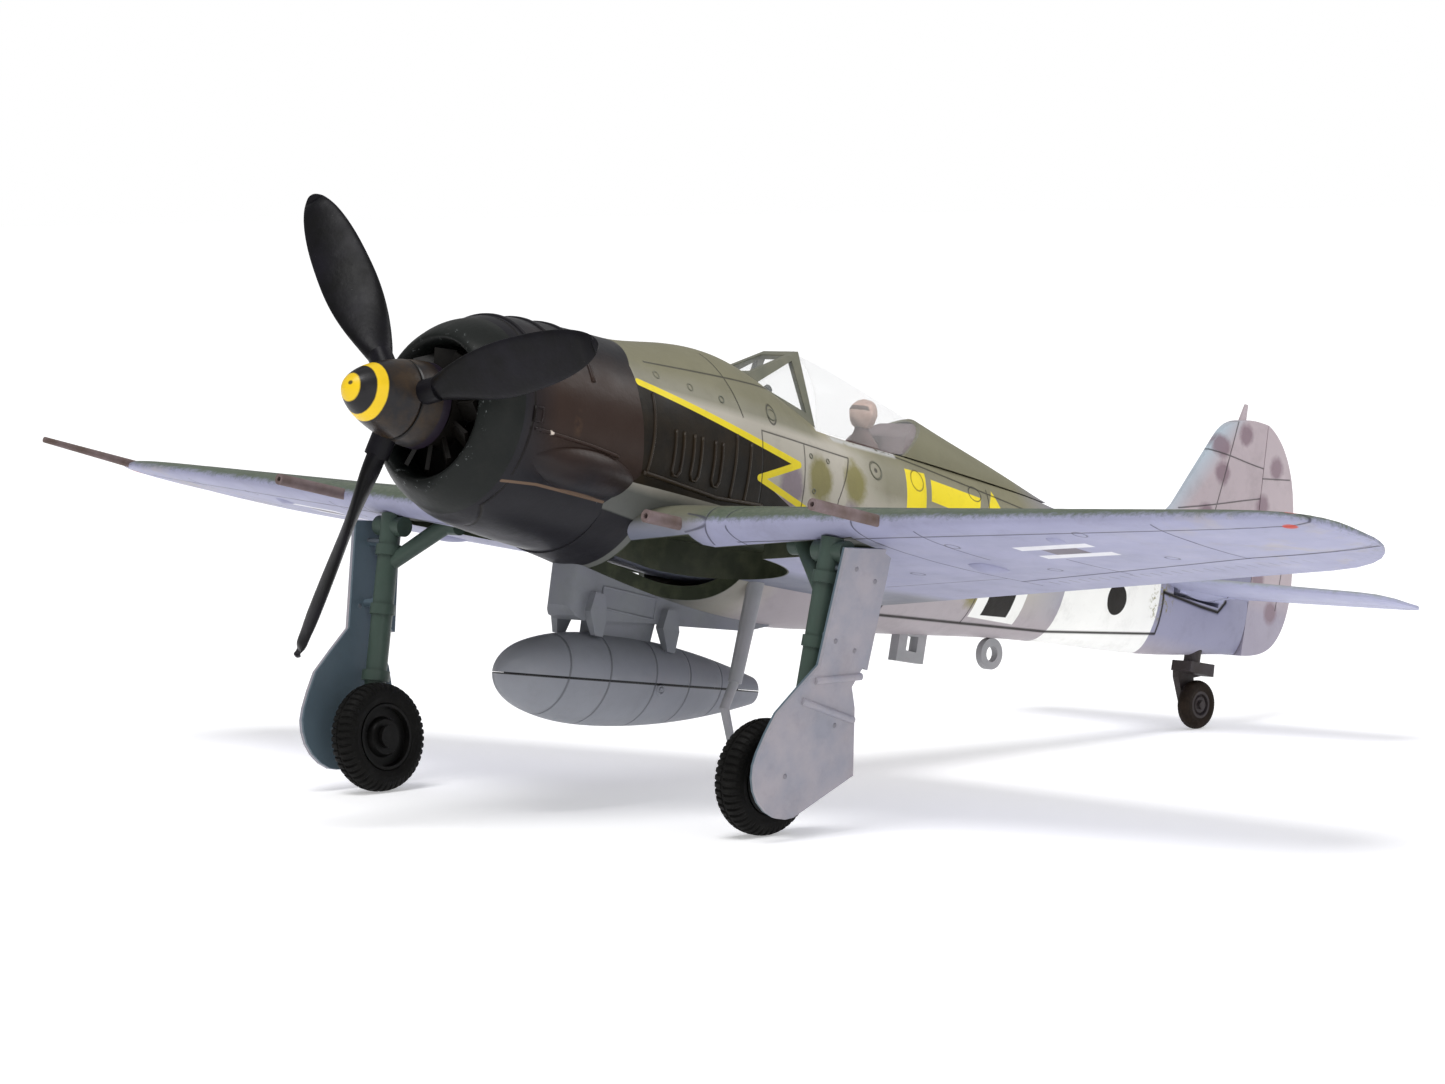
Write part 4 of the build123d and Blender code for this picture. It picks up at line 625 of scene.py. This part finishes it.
FUSELAGE = fuselage_paint()
WING = wing_paint()
PAINTS = {
    "fuselage_paint": FUSELAGE,
    "belly_paint": FUSELAGE,
    "wing_paint": WING,
    "tail_paint": rudder_paint(),
    "cowl_paint": cowl_paint(),
    "nose_paint": nose_paint(),
    "spinner_paint": spinner_paint(),
    "blade_paint": blade_paint(),
    "dark_metal": plain_paint("dark_metal", (0.007, 0.006, 0.005), 0.42, chips=(0.10, 0.10, 0.09), shine=0.2),
    "gun_metal": plain_paint(
        "gun_metal", (0.22, 0.165, 0.17), 0.7, amount=0.9, chips=(0.45, 0.38, 0.33),
        second=(0.10, 0.065, 0.045),
    ),
    "gear_green": plain_paint("gear_green", GEAR_GREEN, 0.42, amount=0.6, second=(0.055, 0.082, 0.068)),
    "door_paint": door_paint(),
    "wheel_hub_paint": plain_paint(
        "wheel_hub_paint", (0.0045, 0.0045, 0.0042), 0.42, chips=(0.06, 0.06, 0.06), shine=0.18
    ),
    "tyre": rubber("tyre_rubber", (0.0050, 0.0048, 0.0043)),
    "tail_fork_paint": plain_paint(
        "tail_fork_paint", (0.050, 0.042, 0.046), 0.55, second=(0.030, 0.022, 0.018)
    ),
    "tail_tyre": rubber("tail_tyre_rubber", (0.014, 0.009, 0.006)),
    "rack_paint": plain_paint("rack_paint", RACK_GREY, 0.5, amount=0.5, second=(0.205, 0.218, 0.232)),
    "tank_paint": tank_paint(),
    "frame_paint": plain_paint("frame_paint", (0.20, 0.195, 0.145), 0.45, second=(0.13, 0.14, 0.11)),
    "clear_plastic": clear_plastic(),
    "cockpit_paint": plain_paint("cockpit_paint", (0.050, 0.052, 0.048), 0.6),
    "seat_cloth": plain_paint("seat_cloth", (0.26, 0.20, 0.21), 0.65, second=(0.20, 0.155, 0.16)),
    "pilot_cloth": plain_paint("pilot_cloth", (0.22, 0.145, 0.145), 0.65, second=(0.16, 0.10, 0.09)),
    "pilot_face": plain_paint("pilot_face", (0.52, 0.37, 0.31), 0.6, second=(0.22, 0.13, 0.09)),
    "screw_steel": plain_paint("screw_steel", (0.35, 0.34, 0.33), 0.38, 0.9),
}
LOUVRE = plain_paint(
    "louvre_paint", (0.022, 0.014, 0.008), 0.36, chips=(0.11, 0.08, 0.05), second=(0.036, 0.024, 0.013)
)
slots = {entry["node"]: entry["material_slot"] for entry in frame["record"]["subparts"]}
for name, node in frame["nodes"].items():
    node.data.materials.clear()
    node.data.materials.append(PAINTS[slots[name]])
frame["nodes"]["tailplane_port"].data.materials[0] = tailplane_paint()
frame["nodes"]["tailplane_starboard"].data.materials[0] = frame["nodes"]["tailplane_port"].data.materials[0]
# painted light: a paler grey than the rack for the boarding step and aerials, so the step in the wing's shade
# reads as brightly lit
lit_fitting_paint = plain_paint("lit_fitting_paint", FITTING_GREY_LIT, 0.5, second=(0.31, 0.32, 0.33))
for name in ("boarding_step", "loop_aerial", "ring_aerial"):
    frame["nodes"][name].data.materials[0] = lit_fitting_paint

# ---------------------------------------------------------------- small raised detail as meshes
SPACING = 0.35
FAR = 80.0
WELD = 1e-7
tree_of = {}


def skin(*names):
    """A search tree over the surfaces of some CAD nodes, in flight-attitude millimetres."""
    if names not in tree_of:
        points, faces = [], []
        for name in names:
            node = frame["nodes"][name]
            start = len(points)
            points += [from_row(node.matrix_world @ vertex.co) for vertex in node.data.vertices]
            faces += [[start + index for index in face.vertices] for face in node.data.polygons]
        tree_of[names] = BVHTree.FromPolygons(points, faces)
    return tree_of[names]


def cast(tree, start, toward):
    """Where a ray meets a surface, and the normal on the side it came from."""
    hit, normal = tree.ray_cast(Vector(start), Vector(toward).normalized())[:2]
    if hit is None:
        return None
    return hit, normal if normal.dot(Vector(toward)) < 0 else -normal


def dense(corners, closed=False):
    """Points every SPACING along straight lines between corners of any dimension."""
    corners = [np.array(corner, float) for corner in corners]
    if closed:
        corners.append(corners[0])
    points = []
    for start, end in zip(corners, corners[1:]):
        count = max(1, int(np.linalg.norm(end - start) / SPACING))
        points += [start + (end - start) * step / count for step in range(count)]
    return points if closed else points + [corners[-1]]


def side_path(tree, corners, side, closed=False):
    """A polyline of (y, z) laid on the port (1) or starboard (-1) side."""
    hits = [cast(tree, (side * FAR, y, z), (-side, 0, 0)) for y, z in dense(corners, closed)]
    return [hit for hit in hits if hit]


def hoop_path(tree, y, start_angle, end_angle):
    """An arc round the fuselage, in degrees up from port."""
    hits = []
    for angle in np.radians(np.arange(start_angle, end_angle, 2.5)):
        out = Vector((math.cos(angle), 0, math.sin(angle)))
        hits.append(cast(tree, Vector((0, y, 0)) + out * FAR, -out))
    return [hit for hit in hits if hit]


def circle(centre, radius, flatten=1.0, count=16):
    turns = [2 * math.pi * step / count for step in range(count)]
    return [(centre[0] + radius * math.cos(t), centre[1] + radius * flatten * math.sin(t)) for t in turns]


def grid_faces(rows, size, wrap=False):
    """The quads between rows of points, each row a closed ring, and round to the first row if it wraps."""
    faces = []
    for row in range(rows):
        a, b = row * size, (row + 1) % rows * size if wrap else (row + 1) * size
        faces += [(a + k, a + (k + 1) % size, b + (k + 1) % size, b + k) for k in range(size)]
    return faces


def bead(path, width, height, closed=False, sunk=0.12):
    """A rounded ridge along a path on a surface, as (vertices, faces)."""
    half = [(0.5, -sunk), (0.42, 0.55 * height), (0.2, height)]
    section = [(-u, v) for u, v in half] + half[::-1]
    rows = []
    count = len(path)
    for index, (point, normal) in enumerate(path):
        before = path[(index - 1) % count if closed else max(index - 1, 0)][0]
        after = path[(index + 1) % count if closed else min(index + 1, count - 1)][0]
        across = (after - before).cross(normal).normalized()
        rows.append([point + across * (width * u) + normal * v for u, v in section])
    size = len(section)
    vertices = [vertex for row in rows for vertex in row]
    faces = grid_faces(count if closed else count - 1, size, closed)
    if not closed:
        faces += [tuple(range(size)), tuple(range((count - 1) * size, count * size))]
    return vertices, faces


def blister(tree, centre, half_length, half_width, height, side, rings=7, spokes=28):
    """A low teardrop bulge under a wing, as (vertices, faces)."""
    vertices = []
    for ring in range(rings + 1):
        share = ring / rings
        for spoke in range(spokes):
            turn = 2 * math.pi * spoke / spokes
            stretch = 1.0 + 0.35 * math.sin(turn)
            x = side * (centre[0] + half_width * share * math.cos(turn))
            y = centre[1] + half_length * share * math.sin(turn) * stretch
            point, normal = cast(tree, (x, y, -FAR), (0, 0, 1))
            vertices.append(point + normal * (height * (1 - share ** 2) ** 0.7 - 0.1 * share))
    return vertices, grid_faces(rings, spokes) + [tuple(range(rings * spokes, (rings + 1) * spokes))]


def piece(name, shapes, body, slot, node=None, material=None, smooth=True):
    """Join shapes given in flight-attitude millimetres into one mesh object on a body."""
    vertices, faces = [], []
    for shape_vertices, shape_faces in shapes:
        start = len(vertices)
        vertices += [to_row(*vertex) for vertex in shape_vertices]
        faces += [tuple(start + index for index in face) for face in shape_faces]
    mesh = bpy.data.meshes.new(name)
    mesh.from_pydata(vertices, [], faces)
    mesh.validate()
    mesh.update()
    work = bmesh.new()
    work.from_mesh(mesh)
    # rings that close to a point leave doubled corners there
    bmesh.ops.remove_doubles(work, verts=work.verts, dist=WELD)
    bmesh.ops.dissolve_degenerate(work, edges=work.edges, dist=WELD)
    bmesh.ops.recalc_face_normals(work, faces=work.faces)
    work.to_mesh(mesh)
    work.free()
    for face in mesh.polygons:
        face.use_smooth = smooth
    mesh.materials.append(material or PAINTS[slot])
    made = bpy.data.objects.new(name, mesh)
    bpy.context.collection.objects.link(made)
    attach(made, body)
    if node:
        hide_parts(node)
    return made


COWL = skin("cowling_upper", "cowling_lower", "nose_ring")
HULL = skin("fuselage_casting")
BOTH = (1, -1)
U_SLOTS = (29.2, 31.5, 34.2)
U_OUTLINE = ((-0.5, 2.2), (-0.5, -1.2), (-0.25, -1.65), (0.25, -1.65), (0.5, -1.2), (0.5, 2.2))

ribs = [bead(hoop_path(COWL, y, 28, 152), 0.45, 0.16) for y in (13.9, 16.6, 19.4)]
piece("cowl_top_ribs", ribs, "airframe", "cowl_paint")
lips = [bead(side_path(COWL, ((13.4, -0.7), (19.2, -1.0), (22.4, -1.3)), side), 0.34, 0.20) for side in BOTH]
piece("cowl_hinge_lips", lips, "airframe", "cowl_paint")
latch = ((13.2, -0.1), (13.9, -0.1), (13.9, 1.1), (13.2, 1.1))
latches = [bead(side_path(COWL, latch, side, True), 0.2, 0.13, closed=True) for side in BOTH]
piece("cowl_latches", latches, "airframe", "cowl_paint")

rims = []
for side in BOTH:
    for y in U_SLOTS:
        rim = [(y + out, z) for out, z in U_OUTLINE]
        rims.append(bead(side_path(HULL, rim, side), 0.24, 0.17))
piece("exhaust_slot_rims", rims, "airframe", "fuselage_paint", material=LOUVRE)
posts = [
    bead(side_path(HULL, line, side), 0.30, 0.14)
    for side in BOTH
    for line in (((26.3, 4.8), (26.0, -2.0)), ((36.6, 3.3), (36.4, -2.3)), ((38.5, 2.9), (38.3, -2.3)))
]
piece("exhaust_panel_ribs", posts, "airframe", "fuselage_paint", material=LOUVRE)
ledge = ((25.6, -2.0), (34.8, -2.5), (40.6, -2.1))
ledges = [bead(side_path(HULL, ledge, side), 0.40, 0.26) for side in BOTH]
piece("exhaust_ledges", ledges, "airframe", "fuselage_paint", material=LOUVRE)

fasteners = [
    bead(side_path(HULL, circle(centre, radius, flatten), side, True), 0.13, 0.07, closed=True)
    for side in BOTH
    for centre, radius, flatten in (
        ((27.6, 6.6), 0.28, 1), ((31.3, 6.3), 0.28, 1), ((35.0, 6.0), 0.28, 1), ((56.6, 3.9), 0.75, 1),
        ((41.8, 6.0), 0.62, 0.75), ((47.0, 3.4), 0.2, 1), ((49.5, 3.4), 0.2, 1), ((47.4, 0.4), 0.2, 1),
    )
]
piece("side_fasteners", fasteners, "airframe", "fuselage_paint", material=PAINTS["frame_paint"])
bulges = [
    blister(skin("wing_casting", "wing_underside_port", "wing_underside_starboard"), centre, *sizes, side)
    for side in BOTH
    for centre, sizes in (((33.4, 42.4), (2.4, 1.15, 0.55)), ((47.4, 34.6), (1.2, 0.7, 0.3)))
]
piece("wing_underside_blisters", bulges, "airframe", "wing_paint")


RACK = skin("rack_body")
TANK = skin("tank_upper_half", "tank_lower_half")
frame_line = ((30.2, -11.2), (36.6, -11.2), (36.6, -13.0), (30.2, -13.0))
rack_frames = [bead(side_path(RACK, frame_line, side, True), 0.22, 0.10, closed=True) for side in BOTH]
piece("rack_side_frames", rack_frames, "airframe", "rack_paint")
bosses = [
    bead(side_path(TANK, circle((36.8, -18.9), radius), side, True), width, height, closed=True)
    for side in BOTH for radius, width, height in ((0.42, 0.26, 0.12), (0.12, 0.24, 0.16))
]
piece("tank_filler_bosses", bosses, "airframe", "tank_paint")

# the pilot's helmeted head, roughly modelled as on a small painted figure
HEAD_CENTRE = (0.0, 60.1, 9.5)
HEAD_SIZE = (1.22, 1.30, 1.38)
HEAD_RINGS = 12
HEAD_SPOKES = 18


def head_shape():
    """An ellipsoid cut with shallow facets, a brow, a nose and ear cups."""
    vertices = []
    for ring in range(HEAD_RINGS + 1):
        tilt = math.pi * ring / HEAD_RINGS
        for spoke in range(HEAD_SPOKES):
            turn = 2 * math.pi * spoke / HEAD_SPOKES
            out = Vector((math.sin(tilt) * math.cos(turn), math.sin(tilt) * math.sin(turn), math.cos(tilt)))
            lump = 0.05 * math.sin(5.1 * out.x + 2.3) * math.cos(4.3 * out.z)
            lump += 0.03 * math.sin(9.0 * out.y + 5.0 * out.z)
            face = max(0.0, -out.y)
            lump += 0.14 * face * math.exp(-((out.z + 0.12) / 0.16) ** 2 - (out.x / 0.2) ** 2)
            lump += 0.10 * face * math.exp(-((out.z - 0.32) / 0.14) ** 2)
            lump += 0.11 * math.exp(-((abs(out.x) - 0.95) / 0.18) ** 2 - (out.z / 0.3) ** 2)
            vertices.append([c + v * size * (1 + lump) for c, v, size in zip(HEAD_CENTRE, out, HEAD_SIZE)])
    return vertices, grid_faces(HEAD_RINGS, HEAD_SPOKES)


piece("helmeted_head", [head_shape()], "airframe", "pilot_face", "pilot_head", material=head_paint())


# treaded tyres: rings of points round the axle, with block lugs standing on both shoulders
LUGS = 46
STEPS_PER_LUG = 6
TREAD_DEPTH = 0.17
# (distance across from the middle, radius, share of the tread depth cut at a groove)
TYRE_RINGS = (
    (-1.00, 2.85, 0), (-1.22, 3.10, 0), (-1.34, 3.55, 0), (-1.33, 4.00, 0.5), (-1.20, 4.35, 1),
    (-0.98, 4.58, 1),
    (-0.70, 4.72, 1), (-0.40, 4.78, 1), (-0.14, 4.80, 1), (-0.10, 4.70, 0), (0.10, 4.70, 0), (0.14, 4.80, 1),
    (0.40, 4.78, 1), (0.70, 4.72, 1), (0.98, 4.58, 1), (1.20, 4.35, 1), (1.33, 4.00, 0.5), (1.34, 3.55, 0),
    (1.22, 3.10, 0), (1.00, 2.85, 0),
)


def tyre(joint_name, name, node):
    joint = next(entry for entry in frame["joints"] if entry["name"] == joint_name)
    axle = from_row(Vector(joint["pos_m"]))
    across = (from_row(Vector(joint["pos_m"]) + Vector(joint["axis"]) * MM) - axle).normalized()
    first = across.orthogonal().normalized()
    second = across.cross(first)
    steps = LUGS * STEPS_PER_LUG
    vertices = []
    for step in range(steps):
        turn = 2 * math.pi * step / steps
        out = first * math.cos(turn) + second * math.sin(turn)
        for offset, radius, cut in TYRE_RINGS:
            shift = 0 if offset < 0 else STEPS_PER_LUG // 2
            groove = (step + shift) % STEPS_PER_LUG < 2
            vertices.append(axle + across * offset + out * (radius - (TREAD_DEPTH * cut if groove else 0)))
    faces = grid_faces(steps, len(TYRE_RINGS), wrap=True)
    piece(name, [(vertices, faces)], joint["child"], "tyre", node, smooth=False)


tyre("wheel_port_roll", "treaded_tyre_port", "tyre_port")
tyre("wheel_starboard_roll", "treaded_tyre_starboard", "tyre_starboard")

# ---------------------------------------------------------------- stage, light and camera
VIEW_FROM = (303.97, -254.71, -46.28)
VIEW_AZIMUTH = math.radians(45.397)
VIEW_ELEVATION = math.radians(-5.551)
VIEW_ROLL = math.radians(8.802)
LENS = 122.69
SENSOR = 36.0


def photo_camera():
    """The photograph's viewpoint, stated in the model's flight attitude."""
    level = math.cos(VIEW_ELEVATION)
    back = Vector((math.sin(VIEW_AZIMUTH) * level, -math.cos(VIEW_AZIMUTH) * level, math.sin(VIEW_ELEVATION)))
    right = Vector((math.cos(VIEW_AZIMUTH), math.sin(VIEW_AZIMUTH), 0))
    upright = back.cross(right)
    rolled_right = right * math.cos(VIEW_ROLL) + upright * math.sin(VIEW_ROLL)
    rolled_up = upright * math.cos(VIEW_ROLL) - right * math.sin(VIEW_ROLL)
    columns = [turn_to_row(v) for v in (rolled_right, rolled_up, back)]
    data = bpy.data.cameras.new("photo_camera")
    data.lens = LENS
    data.sensor_width = SENSOR
    data.clip_start = 0.01
    data.clip_end = 20
    camera = bpy.data.objects.new("photo_camera", data)
    bpy.context.collection.objects.link(camera)
    turn = Matrix([list(column) for column in columns]).transposed()
    camera.matrix_world = Matrix.Translation(to_row(*VIEW_FROM)) @ turn.to_4x4()
    bpy.context.scene.camera = camera


FLOOR_GLOW = 0.34
ROOM_LIGHT = 0.36
SUN_LIGHT = 1.6
SUN_SOFTNESS = 28.0


def floor_and_lights():
    size = 12.0
    mesh = bpy.data.meshes.new("floor")
    corners = [(x * size, y * size, 0) for x, y in ((-1, -1), (1, -1), (1, 1), (-1, 1))]
    mesh.from_pydata(corners, [], [(0, 1, 2, 3)])
    floor = bpy.data.objects.new("floor", mesh)
    bpy.context.collection.objects.link(floor)
    pale = bpy.data.materials.new("floor_white")
    pale.use_nodes = True
    pale.node_tree.nodes["Principled BSDF"].inputs["Base Color"].default_value = (0.93, 0.93, 0.94, 1)
    pale.node_tree.nodes["Principled BSDF"].inputs["Roughness"].default_value = 0.9
    pale.node_tree.nodes["Principled BSDF"].inputs["Emission Color"].default_value = (1, 1, 1, 1)
    pale.node_tree.nodes["Principled BSDF"].inputs["Emission Strength"].default_value = FLOOR_GLOW
    mesh.materials.append(pale)
    world = bpy.data.worlds.new("studio")
    world.use_nodes = True
    background = world.node_tree.nodes["Background"]
    background.inputs["Color"].default_value = (1, 1, 1, 1)
    # the backdrop itself is pure white, and the light it sheds is softer
    seen = world.node_tree.nodes.new("ShaderNodeLightPath")
    level = world.node_tree.nodes.new("ShaderNodeMapRange")
    level.inputs["To Min"].default_value = ROOM_LIGHT
    level.inputs["To Max"].default_value = 1.0
    world.node_tree.links.new(seen.outputs["Is Camera Ray"], level.inputs["Value"])
    world.node_tree.links.new(level.outputs["Result"], background.inputs["Strength"])
    bpy.context.scene.world = world
    sun = bpy.data.lights.new("soft_key", "SUN")
    sun.energy = SUN_LIGHT
    sun.angle = math.radians(SUN_SOFTNESS)
    key = bpy.data.objects.new("soft_key", sun)
    key.rotation_euler = Vector((-0.12, 0.35, -0.93)).to_track_quat("-Z", "Y").to_euler()
    bpy.context.collection.objects.link(key)
    for name, place, target, width, power in (
        ("fill", (0.85, -0.30, 0.25), (0, 0, 0.03), 0.6, 1.2),
        ("back", (0.3, 0.7, 0.6), (0, 0, 0.02), 0.4, 1.5),
    ):
        data = bpy.data.lights.new(name, "AREA")
        data.size = width
        data.energy = power
        lamp = bpy.data.objects.new(name, data)
        lamp.location = place
        lamp.rotation_euler = (Vector(target) - Vector(place)).to_track_quat("-Z", "Y").to_euler()
        bpy.context.collection.objects.link(lamp)


photo_camera()
floor_and_lights()
bpy.context.scene.view_settings.view_transform = "Standard"
